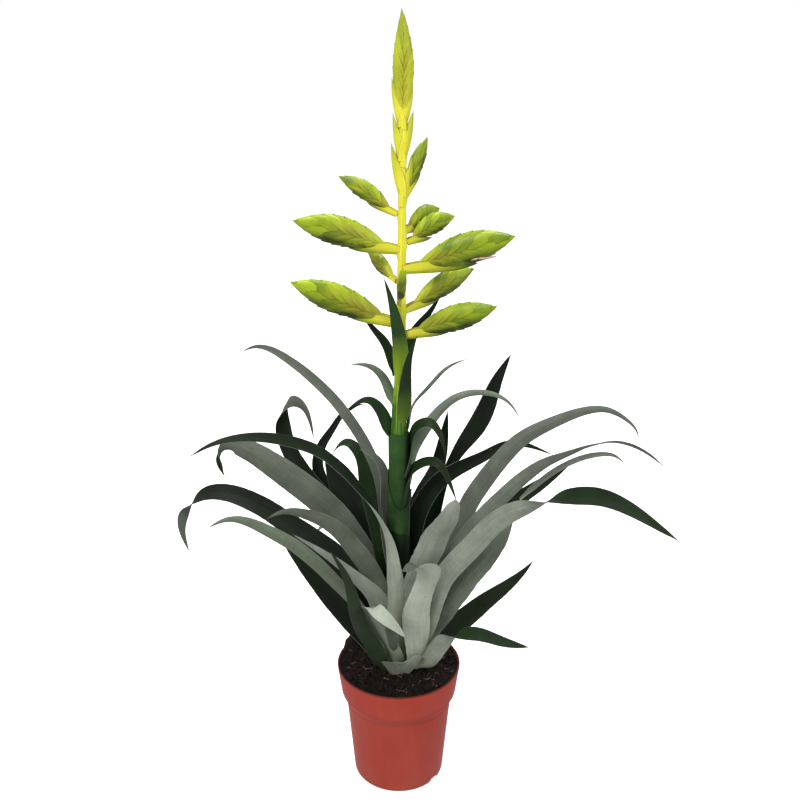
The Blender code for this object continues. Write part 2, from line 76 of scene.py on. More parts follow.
LEAVES = (
    ("leaf_left_high", 150, 11, {"face": (30, 60, 66, 66, 70), "upper": 0.24}, (
        (11, 236), (14, 265), (20, 312), (54, 368), (117, 412), (158, 420), (177, 411),
    )),
    ("leaf_left_long", 215, 19, {
        "face": (-50, -40, 10, 42, 46, 40), "base": 1.1, "fresh": 0.05,
        "shape": (1, 1, 0.95, 0.9, 0.72, 0.48, 0.02),
    }, (
        (9, 150, 10), (10, 195, 9), (12, 230, 8), (20, 274, 4), (50, 327), (84, 364), (118, 383),
        (156, 394), (186, 393), (203, 387),
    )),
    ("leaf_left_broad", 168, 27, {
        "face": (-45, -62, -75, -86, -95, -100, -102, *(-104,) * 10, -100, -20, 70, 80),
        "under": 0.22, "fresh": 0.05,
        "shape": (0.5, 0.62, 0.78, 0.92, 1, 1.02, 1, 0.92, 0.78, 0.50, 0.02),
    }, (
        (14, 185, -4), (32, 228, -3), (62, 273, -1), (105, 309), (143, 332), (162, 336), (173, 326),
        (169, 302),
    )),
    ("leaf_left_low", 165, 25, {
        "face": (30, 55, 64, 66, 66, 66, 66, 64, 30, -75, -95), "under": 0.22, "upper": 0.02,
        "shape": (0.75, 0.9, 1, 1, 0.95, 0.88, 0.8, 0.7, 0.52, 0.38, 0.02),
    }, (
        (14, 150), (29, 190), (55, 222), (110, 258), (161, 281), (188, 281), (212, 265), (224, 242),
        (217, 209),
    )),
    ("leaf_left_silver", 207, 18, {
        "face": (-40, -75, -88, -92, -90), "under": 0.22, "upper": 0.1, "fresh": 0.15,
        "shape": (0.9, 1, 1.05, 0.98, 0.8, 0.5, 0.02),
    }, (
        (15, 178, 4), (30, 230, 3), (48, 261, 1), (66, 284), (90, 301), (114, 309), (130, 305),
    )),
    ("leaf_front_left_thin", 200, 12.5, {
        "face": (-40, -80, -95, -98, -95), "under": 0.30, "upper": 0.2, "fresh": 0.35,
        "shape": (0.8, 0.85, 0.9, 1, 0.98, 0.72, 0.02),
    }, (
        (18, 140), (35, 182), (58, 216), (95, 262), (125, 287), (160, 303), (178, 297),
    )),
    ("leaf_front_left_silver", 222, 24, {
        "face": (-45, -60, -80, -80, -70), "under": 0.62, "upper": 0.2,
        "shape": (1, 1, 0.85, 0.55, 0.36, 0.2, 0.02),
    }, (
        (17, 142), (26, 200), (43, 224), (66, 250), (98, 282), (121, 303),
    )),
    ("leaf_left_short", 165, 26, {"face": SHOWS_UPPER, "shape": (0.7, 0.85, 1, 0.95, 0.8, 0.5, 0.02)}, (
        (19, 126), (33, 146), (61, 178), (99, 218), (116, 234),
    )),
    ("leaf_front_left_upright", 231, 19, {
        "face": (-20, -35, -40, -40), "under": 0.04, "fresh": 0.1,
        "shape": (0.9, 1, 0.95, 0.8, 0.55, 0.3, 0.02),
    }, (
        (20, 121), (36, 150), (58, 196), (72, 243), (94, 283),
    )),
    ("leaf_back_left_curled", 140, 22, {
        "face": (30, 55, 62, 62, 62, 62, 62, 60, -30, -95, -100), "under": 0.2, "base": 0.8,
        "shape": (0.8, 0.95, 1.05, 1.05, 1, 0.92, 0.86, 0.8, 0.6, 0.42, 0.02),
    }, (
        (15, 172, -2), (48, 229, -2), (94, 267), (129, 293), (149, 321), (151, 346), (138, 361),
        (124, 360), (113, 345), (108, 326),
    )),
    ("leaf_back_left_thin", 128, 18, {
        "face": (30, 50, 60, 60, 40), "under": 0.3, "base": 0.8,
        "shape": (0.8, 1, 1.05, 0.95, 0.55, 0.28, 0.02),
    }, (
        (17, 168, -2), (50, 206, -1), (90, 233), (119, 262), (134, 283), (123, 314), (107, 333),
        (89, 354), (72, 366), (54, 374), (38, 369),
    )),
    ("leaf_inner_left_curl", 152, 20, {
        "face": (40, 60, 62, 60, 10), "under": 0.25, "fresh": 0.15,
        "shape": (0.8, 1, 1, 0.95, 0.75, 0.45, 0.02),
    }, (
        (11, 220), (15, 238), (22, 270), (33, 307), (42, 336), (54, 343), (66, 335), (73, 323),
    )),
    ("leaf_back_dark", 138, 30, {"face": (20, 45, 50, 50), "upper": 0.0, "base": 0.8}, (
        (12, 206), (26, 234), (55, 266), (81, 291), (98, 310),
    )),
    ("leaf_inner_left_small", 176, 10, {"face": (55, 60, 40), "upper": 0.2}, (
        (13, 292), (15, 328), (25, 341), (36, 346),
    )),
    ("leaf_right_upright", 40, 20, {
        "face": (25, 45, 50, 55, 50), "upper": 0.0, "base": 0.7,
        "shape": (0.8, 0.9, 0.85, 0.62, 0.50, 0.92, 0.72, 0.02),
    }, (
        (11, 190), (38, 252), (64, 312), (86, 335), (103, 350), (122, 382), (144, 410),
    )),
    ("leaf_inner_right", 60, 17, {"face": (10, 25, 30, 30), "upper": 0.0}, (
        (12, 208), (20, 250), (36, 276), (55, 288), (76, 301), (88, 325), (97, 354),
    )),
    ("leaf_back_right_dark", 20, 18, {
        "face": (30, 58, 62, 60, 30), "upper": 0.0, "shape": (0.8, 1, 1, 0.85, 0.6, 0.35, 0.02),
    }, (
        (13, 225), (18, 275), (42, 310), (86, 328), (110, 336), (140, 328), (161, 317),
    )),
    ("leaf_right_high", -12, 18, {
        "face": (-45, -90, -104, -106, -100), "under": 0.27, "upper": 0.12,
        "shape": (0.8, 0.95, 1.02, 0.98, 0.78, 0.42, 0.02),
    }, (
        (15, 168), (28, 212), (52, 264), (66, 300), (88, 338), (113, 368), (139, 385), (165, 397),
        (182, 399), (198, 392), (208, 382), (211, 371),
    )),
    ("leaf_right_middle", -26, 17, {
        "face": (-45, -85, -98, -96, -30, 30), "under": 0.36, "upper": 0.1,
        "shape": (0.9, 0.95, 1, 0.9, 0.68, 0.48, 0.02),
    }, (
        (16, 152), (28, 197), (45, 234), (80, 293), (102, 322), (137, 358), (164, 375), (198, 389),
        (226, 382), (239, 373),
    )),
    ("leaf_right_short_dark", 30, 17, {"face": (30, 55, 60, 60), "upper": 0.0}, (
        (14, 166, 3), (60, 222, 2), (98, 247), (134, 263), (173, 277), (211, 294),
    )),
    ("leaf_right_long", -38, 21, {
        "face": (-45, -75, -88, -90, -90, -88, -76, 0, 60, 62, 60), "under": 0.58, "base": 1.05, "fresh": 0.1,
        "shape": (0.95, 1, 1.02, 1.02, 1, 0.92, 0.82, 0.74, 0.72, 0.46, 0.02),
    }, (
        (18, 138), (34, 182), (48, 226), (76, 267), (111, 311), (146, 335), (185, 354), (204, 358),
        (241, 351), (271, 340),
    )),
    ("leaf_right_broad", -18, 25, {
        "face": (-50, -90, -100, -100), "under": 0.36, "ragged": 0.08, "fresh": 0.2,
        "shape": (0.8, 0.9, 1, 1.02, 0.95, 0.72, 0.04),
    }, (
        (19, 132, 2), (34, 167, 2), (49, 198, 1), (68, 229), (89, 262), (110, 303),
    )),
    ("leaf_right_low", 14, 21, {
        "face": SHOWS_UPPER, "upper": 0.02, "fresh": 0.1, "shape": (0.7, 0.85, 1, 0.98, 0.75, 0.42, 0.02),
    }, (
        (19, 124), (51, 149), (94, 180), (129, 206), (137, 215),
    )),
    ("leaf_right_lowest", -36, 18, {
        "face": (-35, -70, -85, -82, -10, 55, 60, 58, 55), "under": 0.62, "upper": 0.02, "fresh": 0.15,
        "shape": (0.9, 1, 1, 0.9, 0.68, 0.72, 0.62, 0.42, 0.02),
    }, (
        (19, 120), (36, 138), (50, 161), (74, 180), (93, 187), (112, 188), (143, 193),
    )),
    ("leaf_inner_silver", -48, 28, {
        "face": (-25, -30, -30), "under": 0.66, "ragged": 0.07,
        "shape": (0.8, 0.95, 1, 1, 0.98, 0.82, 0.30),
    }, (
        (13, 186, 4), (25, 222, 3), (40, 252), (54, 282), (69, 309), (74, 323),
    )),
    ("leaf_front_folded", 270, 24, {
        "under": 0.92, "upper": 0.2, "ragged": 0.05,
        "shape": (0.5, 0.8, 1.05, 1.12, 0.94, 0.86, 0.85, 0.04),
    }, (
        (20, 140, 17), (26, 165, 17), (34, 195, 17), (41, 223, 22), (49, 247, 27), (56, 257, 23),
        (61, 260, 12), (64, 257, 2),
    )),
    ("leaf_front_curl", 270, 17, {
        "face": (10, 15, 5, 0, 0), "under": 0.42, "upper": 0.95, "fresh": 0.4, "base": 1.2,
        "shape": (1, 1, 1, 0.95, 0.78, 0.82, 0.62, 0.04),
    }, (
        (20, 140, -4), (27, 165, -13), (36, 190, -23), (45, 207, -27), (54, 214, -23), (60, 209, -13),
        (62, 199, -2), (61, 187, 7),
    )),
    ("sheath_front_left", 262, 30, {"under": 0.6, "upper": 0.3, "shape": SHEATH_SHAPE, "ragged": 0.06}, (
        (19, 119), (30, 137), (40, 147),
    )),
    ("sheath_front", 297, 28, {"under": 0.7, "upper": 0.4, "shape": SHEATH_SHAPE, "ragged": 0.06}, (
        (19, 119), (27, 132), (37, 151),
    )),
    ("leaf_back_arch", 88, 20, {}, ((17, 135), (45, 190), (100, 235), (150, 235), (190, 210), (215, 175))),
    ("leaf_back_right_low", 58, 19, {}, ((18, 128), (60, 165), (115, 195), (160, 195), (200, 170))),
    ("leaf_back_left_low", 118, 19, {}, ((18, 128), (60, 170), (115, 200), (160, 198), (198, 172))),
)

# Thin parts of leaves that come out from behind the others: they belong to no solid of the CAD part.
EXTRA_LEAVES = (
    ("leaf_right_hidden_tip", -4, 5.5, {"face": SHOWS_UPPER, "upper": 0.25, "clasp": 0}, (
        (112, 300), (138, 327), (160, 341), (179, 347), (194, 346), (204, 338),
    )),
    ("bract_front_small", 258, 10, {"under": 0.2, "clasp": 0.3, "face": (0, -10, -20)}, (
        (24, 150), (32, 172), (42, 190), (50, 203),
    )),
)

BRACT_LOOK = {
    "under": 0.02, "upper": 0.01, "fresh": 0.30, "base": 0.66, "clasp": 0.35, "base_fresh": 0.5,
    "shape": (1.1, 1.1, 1, 0.85, 0.6, 0.32, 0.02),
}
BRACTS = (
    ("bract_front_green", 270, 14, {"fresh": 0.45, "clasp": 0.6, "lime": 1.0}, (
        (7, 430, 2), (10, 458), (15, 481, -4), (22, 510, -12),
    )),
    ("bract_front_dark", 280, 13, {"fresh": 0.15, "clasp": 0.75, "lime": 0.35}, (
        (8, 388, 4), (14, 412, 4), (19, 438, 6), (25, 461, 12),
    )),
    ("bract_left_upper", 162, 9, {"face": SHOWS_UPPER, "fresh": 0.05}, (
        (6, 428), (13, 447), (23, 458), (31, 467), (37, 473),
    )),
    ("bract_right_upper", 32, 9, {"face": SHOWS_UPPER, "fresh": 0.05}, (
        (8, 442), (19, 458), (32, 470), (46, 488),
    )),
    ("bract_left_middle", 186, 9, {"face": SHOWS_UNDER, "under": 0.25}, (
        (7, 398), (15, 418), (26, 427), (43, 429),
    )),
    ("bract_left_lower", 186, 13, {"face": SHOWS_UPPER, "fresh": 0.15}, (
        (9, 366), (17, 386), (26, 395), (45, 388),
    )),
    ("bract_right_thin", 24, 8, {"face": (20, -60, -100), "under": 0.32}, (
        (10, 368), (14, 386), (27, 399), (48, 418), (69, 424),
    )),
    ("bract_right_curl", -22, 15, {"face": (10, 30, 40, 20), "under": 0.15, "fresh": 0.15}, (
        (9, 322), (13, 352), (20, 373), (30, 377), (39, 368), (44, 355), (46, 345),
    )),
    ("bract_right_arch", 14, 12, {
        "face": (-30, -80, -100, -100), "under": 0.36, "shape": (1, 1.1, 1.05, 0.8, 0.55, 0.3, 0.02),
    }, (
        (9, 302), (15, 344), (29, 369), (52, 391), (76, 395), (103, 384), (117, 364),
    )),
    ("bract_right_low", -36, 13, {"face": (30, 45, 50, 30), "fresh": 0.1}, (
        (8, 292), (12, 322), (23, 337), (42, 344), (56, 328), (64, 312),
    )),
)

# Spikes: name, azimuth, width, scales in each of the two ranks, how yellow, and the axis as (out, up)
SPIKES = (
    ("spike_left_upper", 166, 15, 5, 0.35, ((3, 560), (27, 577), (51, 589))),
    ("spike_left_middle", 188, 24, 7, 0.30, ((3, 530), (44, 545), (88, 556))),
    ("spike_left_lower", 184, 25, 7, 0.30, ((4, 466), (46, 485), (92, 503))),
    ("spike_back_left", 128, 14, 4, 0.50, ((4, 502), (21, 511), (42, 523))),
    ("spike_back_right", 42, 19, 4, 0.25, ((8, 545), (27, 553), (46, 560))),
    ("spike_right_upper", 14, 17, 5, 0.20, ((9, 536), (28, 549), (49, 556))),
    ("spike_right_middle", -10, 26, 7, 0.25, ((9, 514), (54, 531), (98, 544))),
    ("spike_right_inner", 24, 20, 6, 0.30, ((9, 477), (38, 493), (72, 507))),
    ("spike_right_lower", -16, 22, 7, 0.15, ((9, 456), (46, 472), (86, 486))),
    ("spike_front", 276, 12, 3, 0.10, ((6, 485), (22, 500), (38, 520))),
    ("spike_top_right_outer", 10, 12, 3, 0.30, ((7, 575), (14, 598), (24, 621))),
)
TOP_SPIKE = ("spike_top", 0, 15.5, 7, 0.62, ((3, 634), (4, 680), (3, 719.5)))

# The folded yellow bracts that hug the axis below the top spike: name, 1 to the right or -1 to the left,
# height of the base and of the tip, how far out the tip is, and width. The first three are CAD nodes.
TOP_BRACT_NODES = 3
TOP_BRACTS = (
    ("spike_top_left_lower", -1, 574, 617.5, 6.0, 9.5),
    ("spike_top_right_inner", 1, 603, 642.5, 12.2, 9),
    ("spike_top_left_upper", -1, 598, 641, 4.6, 8.5),
    ("top_bract_right_lowest", 1, 566, 606, 11, 10),
    ("top_bract_left_highest", -1, 628, 668, 5.4, 8),
    ("top_bract_right_highest", 1, 630, 662, 11.8, 8),
)

# The dried end of a flower that hangs out of the right middle spike: azimuth and line
DRIED_FLOWER = (-14, ((60, 523), (67, 525), (75, 526), (83, 528)))

# Pot, as in the CAD part
POT_HEIGHT = 0.122
RIM_RADIUS = 0.060
COLLAR_FOOT_RADIUS = 0.0562
COLLAR_FOOT = 0.0925
STEP_RADIUS = 0.0515
STEP_FOOT = 0.085
FOOT_RADIUS = 0.0443
FOOT_ROUND = 0.003
WALL = 0.0015
FLOOR = 0.002
DRAIN_HOLES = 6
DRAIN_RADIUS = 0.0035
DRAIN_CIRCLE = 0.026
NOTCH_AZIMUTHS = (-38, 142)
NOTCH_SIZE = (0.010, 0.013, 0.009)

SOIL_EDGE_TOP = 0.1203
SOIL_HEAP = -0.001
SOIL_CROWN_RADIUS = 0.035
SOIL_LUMP = 0.019
SOIL_LUMP_AT = (-0.046, 0.022)
SOIL_LUMP_SPREAD = 0.0085

# height, radius and lean to the right of the stem's axis
STEM_LINE = (
    (0.112, 0.0140, 0), (0.140, 0.0115, 0), (0.160, 0.0090, 0), (0.185, 0.0075, 0), (0.230, 0.0082, 0),
    (0.262, 0.0085, 0.0005), (0.330, 0.0078, 0.0005), (0.362, 0.0072, 0), (0.390, 0.0060, 0),
    (0.410, 0.0052, 0.0010), (0.455, 0.0046, 0.0020), (0.510, 0.0041, 0.0028), (0.568, 0.0037, 0.0033),
    (0.615, 0.0027, 0.0037), (0.648, 0.0014, 0.0040),
)


# ---------------------------------------------- helpers

def curve_through(points, count):
    """Evenly spread points on the natural cubic spline through the given ones."""
    points = np.array(points, float)
    knots = np.concatenate([[0], np.cumsum(np.linalg.norm(np.diff(points, axis=0), axis=1))])
    steps = np.diff(knots)
    size = len(points)
    system = np.eye(size)
    right = np.zeros(points.shape)
    for i in range(1, size - 1):
        system[i, i - 1 : i + 2] = steps[i - 1], 2 * (steps[i - 1] + steps[i]), steps[i]
        slopes = (points[i + 1] - points[i]) / steps[i] - (points[i] - points[i - 1]) / steps[i - 1]
        right[i] = 6 * slopes
    bends = np.linalg.solve(system, right)
    found = []
    for at in np.linspace(0, knots[-1], count):
        i = min(int(np.searchsorted(knots, at, side="right")) - 1, size - 2)
        step = steps[i]
        after = at - knots[i]
        before = knots[i + 1] - at
        ends = points[i] * before + points[i + 1] * after
        curved = bends[i] * (before**3 / step - before * step)
        curved = curved + bends[i + 1] * (after**3 / step - after * step)
        found.append(ends / step + curved / 6)
    return np.array(found)


def plane_axes(azimuth):
    """The unit vectors out and side of the upright plane at this azimuth."""
    angle = math.radians(azimuth)
    return np.array([math.cos(angle), math.sin(angle), 0]), np.array([-math.sin(angle), math.cos(angle), 0])


def unit(vectors):
    return vectors / np.maximum(np.linalg.norm(vectors, axis=-1, keepdims=True), 1e-12)


def placed_line(azimuth, line, count):
    """The centre line in metres and in world axes, with its direction at each point."""
    out, side = plane_axes(azimuth)
    local = curve_through([(*point, 0)[:3] for point in line], count) * MM
    points = local @ np.array([out, UP, side])
    return points, unit(np.gradient(points, axis=0))


def smooth_step(value):
    value = np.clip(value, 0, 1)
    return value * value * (3 - 2 * value)


def normals_of(surface):
    return unit(np.cross(np.gradient(surface, axis=0), np.gradient(surface, axis=1)))


def linked(name, data):
    """A new object in the scene that holds this mesh, light or camera."""
    thing = bpy.data.objects.new(name, data)
    bpy.context.scene.collection.objects.link(thing)
    return thing


def make_object(name, points, faces, attributes=None, crease=50):
    """A smooth mesh object, with one float attribute on its points for each name given."""
    mesh = bpy.data.meshes.new(name)
    mesh.from_pydata(np.asarray(points).tolist(), [], faces)
    for key, values in (attributes or {}).items():
        made = mesh.attributes.new(key, "FLOAT", "POINT")
        made.data.foreach_set("value", np.asarray(values, np.float32))
    mesh.shade_smooth()
    mesh.set_sharp_from_angle(angle=math.radians(crease))
    mesh.validate()
    return linked(name, mesh)


def finish_piece(thing, look, slot, *nodes):
    thing.data.materials.clear()
    thing.data.materials.append(look)
    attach(thing, "root")
    if nodes:
        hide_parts(*nodes)


def shell(outer, inner, flip=False):
    """Points and faces of a closed thin shell between two grids of points. Flip turns its faces round."""
    rows, columns = outer.shape[:2]

    def at(row, column, layer):
        return layer * rows * columns + row * columns + column

    faces = []
    for i in range(rows - 1):
        for j in range(columns - 1):
            faces.append((at(i, j, 0), at(i, j + 1, 0), at(i + 1, j + 1, 0), at(i + 1, j, 0)))
            faces.append((at(i, j, 1), at(i + 1, j, 1), at(i + 1, j + 1, 1), at(i, j + 1, 1)))
    for i in range(rows - 1):
        last = columns - 1
        faces.append((at(i, 0, 0), at(i + 1, 0, 0), at(i + 1, 0, 1), at(i, 0, 1)))
        faces.append((at(i, last, 0), at(i, last, 1), at(i + 1, last, 1), at(i + 1, last, 0)))
    for j in range(columns - 1):
        last = rows - 1
        faces.append((at(0, j, 0), at(0, j, 1), at(0, j + 1, 1), at(0, j + 1, 0)))
        faces.append((at(last, j, 0), at(last, j + 1, 0), at(last, j + 1, 1), at(last, j, 1)))
    if flip:
        faces = [face[::-1] for face in faces]
    return np.concatenate([outer.reshape(-1, 3), inner.reshape(-1, 3)]), faces


def on_both_layers(shape, **values):
    """The values of a shell's attributes, each spread over a grid of this shape, the same on both layers."""
    return {key: np.tile(np.broadcast_to(value, shape).ravel(), 2) for key, value in values.items()}


def joined(name, shells, crease=60):
    """One object from several shells, each (points, faces, attributes)."""
    points = []
    faces = []
    attributes = {}
    base = 0
    for shell_points, shell_faces, values in shells:
        faces += [tuple(base + index for index in face) for face in shell_faces]
        points.append(shell_points)
        base += len(shell_points)
        for key, value in values.items():
            attributes.setdefault(key, []).append(value)
    attributes = {key: np.concatenate(value) for key, value in attributes.items()}
    return make_object(name, np.concatenate(points), faces, attributes, crease)


# ---------------------------------------------- materials

class Value:
    """What a node gives. Sums, differences and products of values are Math nodes."""

    def __init__(self, graph, socket):
        self.graph = graph
        self.socket = socket

    def __add__(self, other):
        return self.graph.math("ADD", self, other)

    def __sub__(self, other):
        return self.graph.math("SUBTRACT", self, other)

    def __mul__(self, other):
        return self.graph.math("MULTIPLY", self, other)

    def __abs__(self):
        return self.graph.math("ABSOLUTE", self)

    def clamped(self):
        """The same sum or product, held between 0 and 1."""
        self.socket.node.use_clamp = True
        return self

    def between(self, low, high):
        """0 at low and 1 at high, held outside. Low may be above high."""
        return self.graph.add("ShaderNodeMapRange", {"Value": self, "From Min": low, "From Max": high})


class Graph:
    """A material's node tree, with one short call for each node."""

    def __init__(self, name):
        self.material = bpy.data.materials.new(name)
        self.material.use_nodes = True
        self.tree = self.material.node_tree

    def put(self, node, inputs):
        for key, value in inputs.items():
            socket = node.inputs[key]
            if isinstance(value, Value):
                self.tree.links.new(value.socket, socket)
            else:
                socket.default_value = (*value, 1) if socket.type == "RGBA" else value

    def add(self, kind, inputs, output=0, **settings):
        node = self.tree.nodes.new(kind)
        for key, value in settings.items():
            setattr(node, key, value)
        self.put(node, inputs)
        return Value(self, node.outputs[output])

    def attributes(self, *names):
        return [self.add("ShaderNodeAttribute", {}, "Fac", attribute_name=name) for name in names]

    def place(self):
        return self.add("ShaderNodeTexCoord", {}, "Object")

    def height(self):
        return self.add("ShaderNodeSeparateXYZ", {"Vector": self.place()}, "Z")

    def vector(self, x, y, z):
        return self.add("ShaderNodeCombineXYZ", {"X": x, "Y": y, "Z": z})

    def math(self, operation, first, second=0.0):
        return self.add("ShaderNodeMath", {0: first, 1: second}, operation=operation)

    def noise(self, where, scale, detail=3.0, roughness=0.55):
        inputs = {"Vector": where, "Scale": scale, "Detail": detail, "Roughness": roughness}
        return self.add("ShaderNodeTexNoise", inputs, "Fac")

    def spots(self, where, scale, size):
        """1 inside small round spots and 0 outside."""
        distance = self.add("ShaderNodeTexVoronoi", {"Vector": where, "Scale": scale}, "Distance")
        return distance.between(size, size * 0.6)

    def mix(self, share, first, second):
        return self.add("ShaderNodeMix", {0: share, 6: first, 7: second}, 2, data_type="RGBA")

    def bump(self, height, strength, distance, normal=None):
        inputs = {"Height": height, "Strength": strength, "Distance": distance}
        if normal:
            inputs["Normal"] = normal
        return self.add("ShaderNodeBump", inputs)

    def finish(self, colour, roughness, normal, specular=0.5, **others):
        inputs = {key.replace("_", " "): value for key, value in others.items()}
        inputs.update({"Base Color": colour, "Roughness": roughness, "Normal": normal})
        inputs["Specular IOR Level"] = specular
        self.put(self.tree.nodes["Principled BSDF"], inputs)
        return self.material


DARK_GREEN = (0.0052, 0.0130, 0.0043)
SHADE_GREEN = (0.0018, 0.0046, 0.0016)
FRESH_GREEN = (0.045, 0.145, 0.022)
SILVER = (0.54, 0.59, 0.50)
SILVER_SHADE = (0.35, 0.39, 0.31)
STALK_LIME = (0.30, 0.44, 0.016)
BASE_TINT_AND_PAINTED_SHADE = (0.36, 0.40, 0.20)
SPOT_GREY = (0.05, 0.05, 0.04)
TIP_BROWN = (0.13, 0.055, 0.030)


def leaf_material():
    """Dark green above, silver scales below, with fine lengthwise veins, specks and a browned tip."""
    g = Graph("leaf_blade")
    names = ("across", "along", "share", "silver", "fresh", "lime")
    across, along, share, silver, fresh, lime = g.attributes(*names)
    place = g.place()
    streaks = g.noise(g.vector(across * 9.0, along * 12.0, fresh), 3.0, 4.0, 0.6)
    fine = g.noise(g.vector(across * 34.0, along * 30.0, silver), 1.0, 2.0)
    cloud = g.noise(place, 45.0)
    scurf = g.noise(place, 900.0, 2.0, 0.7)
    bands = g.noise(g.vector(across * 0.7, along * 160.0, 0.0), 1.0)

    worn = (streaks * 0.42 + cloud * 0.40 + scurf * 0.22 - 0.52) * 1.9
    mask = (silver * (worn + 1.0)).clamped()
    green = g.mix(streaks.between(0.3, 0.7), SHADE_GREEN, DARK_GREEN)
    green = g.mix(fresh * cloud.between(0.1, 0.7), green, FRESH_GREEN)
    pale = g.mix(fine.between(0.25, 0.75), SILVER_SHADE, SILVER)
    pale = g.mix(bands.between(0.35, 0.70) * 0.35, pale, SILVER_SHADE)
    colour = g.mix(mask, green, pale)
    colour = g.mix(lime * streaks.between(0.1, 0.5), colour, STALK_LIME)
    colour = g.mix(abs(across).between(0.93, 1.0) * 0.09, colour, SILVER)
    # Towards the base of the silver parts: partly the leaf's own yellow-green base, partly painted shade
    # where the leaves crowd into the rosette.
    colour = g.mix(share.between(0.24, 0.04) * (mask * 0.75), colour, BASE_TINT_AND_PAINTED_SHADE)
    spots = g.spots(place, 75.0, 0.085) * cloud.between(0.50, 0.62)
    colour = g.mix(spots * 0.65, colour, SPOT_GREY)
    tip = (share + cloud * 0.03).between(0.985, 1.015)
    colour = g.mix(tip * 0.8, colour, TIP_BROWN)

    veins = g.math("SINE", across * 42.0)
    normal = g.bump(scurf, 0.18, 0.0003, g.bump(veins * 0.5 + fine * 0.9, 0.35, 0.0003))
    return g.finish(colour, mask * 0.34 + cloud * 0.22 + 0.34, normal, 0.10)


LIME = (0.40, 0.52, 0.012)
LEAF_LIME = (0.125, 0.205, 0.004)
YELLOW = (0.90, 0.84, 0.050)
WARM = (0.24, 0.15, 0.020)
PAINTED_SHADE_AND_DARK_TIP = (0.012, 0.028, 0.003)
PAINTED_OVERLAP_SHADE = (0.07, 0.10, 0.005)
NERVE_SHADE = (0.05, 0.10, 0.01)
DARK_EDGE_AND_PAINTED_SHADOW = (0.07, 0.075, 0.008)


def spike_material():
    """Lime-green scales that turn yellow towards their bases, with fine nerves, brownish free edges and dark
    tips on the primary bracts, and with painted shade on the covered base of each scale, at the free edges
    and along the lower margin of each side spike.
    """
    g = Graph("spike_scale")
    names = ("across", "along", "share", "yellow", "tone", "low")
    across, along, share, yellow, tone, low = g.attributes(*names)
    cloud = g.noise(g.place(), 70.0)
    nerves = g.noise(g.vector(across * 26.0, along * 3.0, tone), 1.0)

    green = g.mix((cloud + tone).between(0.35, 1.25), LEAF_LIME, LIME)
    pale = (yellow - along * 0.45 + (cloud - 0.5) * 0.5).clamped()
    colour = g.mix(pale, green, YELLOW)
    warm = along.between(0.95, 0.1) * share.between(0.80, 0.3) * yellow.between(1.25, 0.55)
    colour = g.mix(warm * cloud.between(0.36, 0.62), colour, WARM)
    # Painted shade: the base of each scale darkened, where the scale below covers it.
    overlap = along.between(0.55, 0.0) * share.between(0.1, 0.4) * yellow.between(1.1, 0.4)
    colour = g.mix(overlap * 0.60, colour, PAINTED_OVERLAP_SHADE)
    colour = g.mix(nerves.between(0.66, 0.46), colour, g.mix(0.25, colour, NERVE_SHADE))
    # The free inner edge of each scale darkened: partly its own dark margin, partly a painted shadow line
    # where the scales overlap.
    colour = g.mix(abs(across).between(0.90, 1.0) * 0.55, colour, DARK_EDGE_AND_PAINTED_SHADOW)
    # Painted shade along the lower margin of each side spike, where it faces down into shade; on the primary
    # bracts the same mix gives their own dark tips.
    under = low.between(0.20, 0.65) * cloud.between(0.20, 0.55) * share.between(0.95, 0.65)
    colour = g.mix(under * 0.92, colour, PAINTED_SHADE_AND_DARK_TIP)
    return g.finish(colour, cloud * 0.20 + 0.24, g.bump(nerves, 0.45, 0.0004), 0.30)


def stem_material():
    """Yellow among the spikes, bright green and then dark green below them, with lengthwise nerves."""
    g = Graph("flower_stalk")
    height = g.height()
    cloud = g.noise(g.place(), 60.0)
    nerves = g.noise(g.vector(g.attributes("across")[0] * 30.0, height * 14.0, 0.0), 1.0)
    ridges = nerves.between(0.35, 0.65)
    level = height + (cloud - 0.5) * 0.035
    green = g.mix(ridges, (0.030, 0.085, 0.016), (0.075, 0.19, 0.022))
    streaked = g.mix(nerves.between(0.46, 0.64), (0.034, 0.100, 0.014), (0.17, 0.33, 0.018))
    bright = g.mix(ridges, (0.24, 0.42, 0.018), (0.42, 0.58, 0.025))
    yellow = g.mix(ridges, (0.58, 0.55, 0.035), YELLOW)
    colour = g.mix(level.between(0.345, 0.372), green, streaked)
    colour = g.mix(level.between(0.392, 0.412), colour, bright)
    colour = g.mix(level.between(0.440, 0.490), colour, yellow)
    return g.finish(colour, cloud * 0.2 + 0.32, g.bump(nerves, 0.4, 0.0004), 0.28)


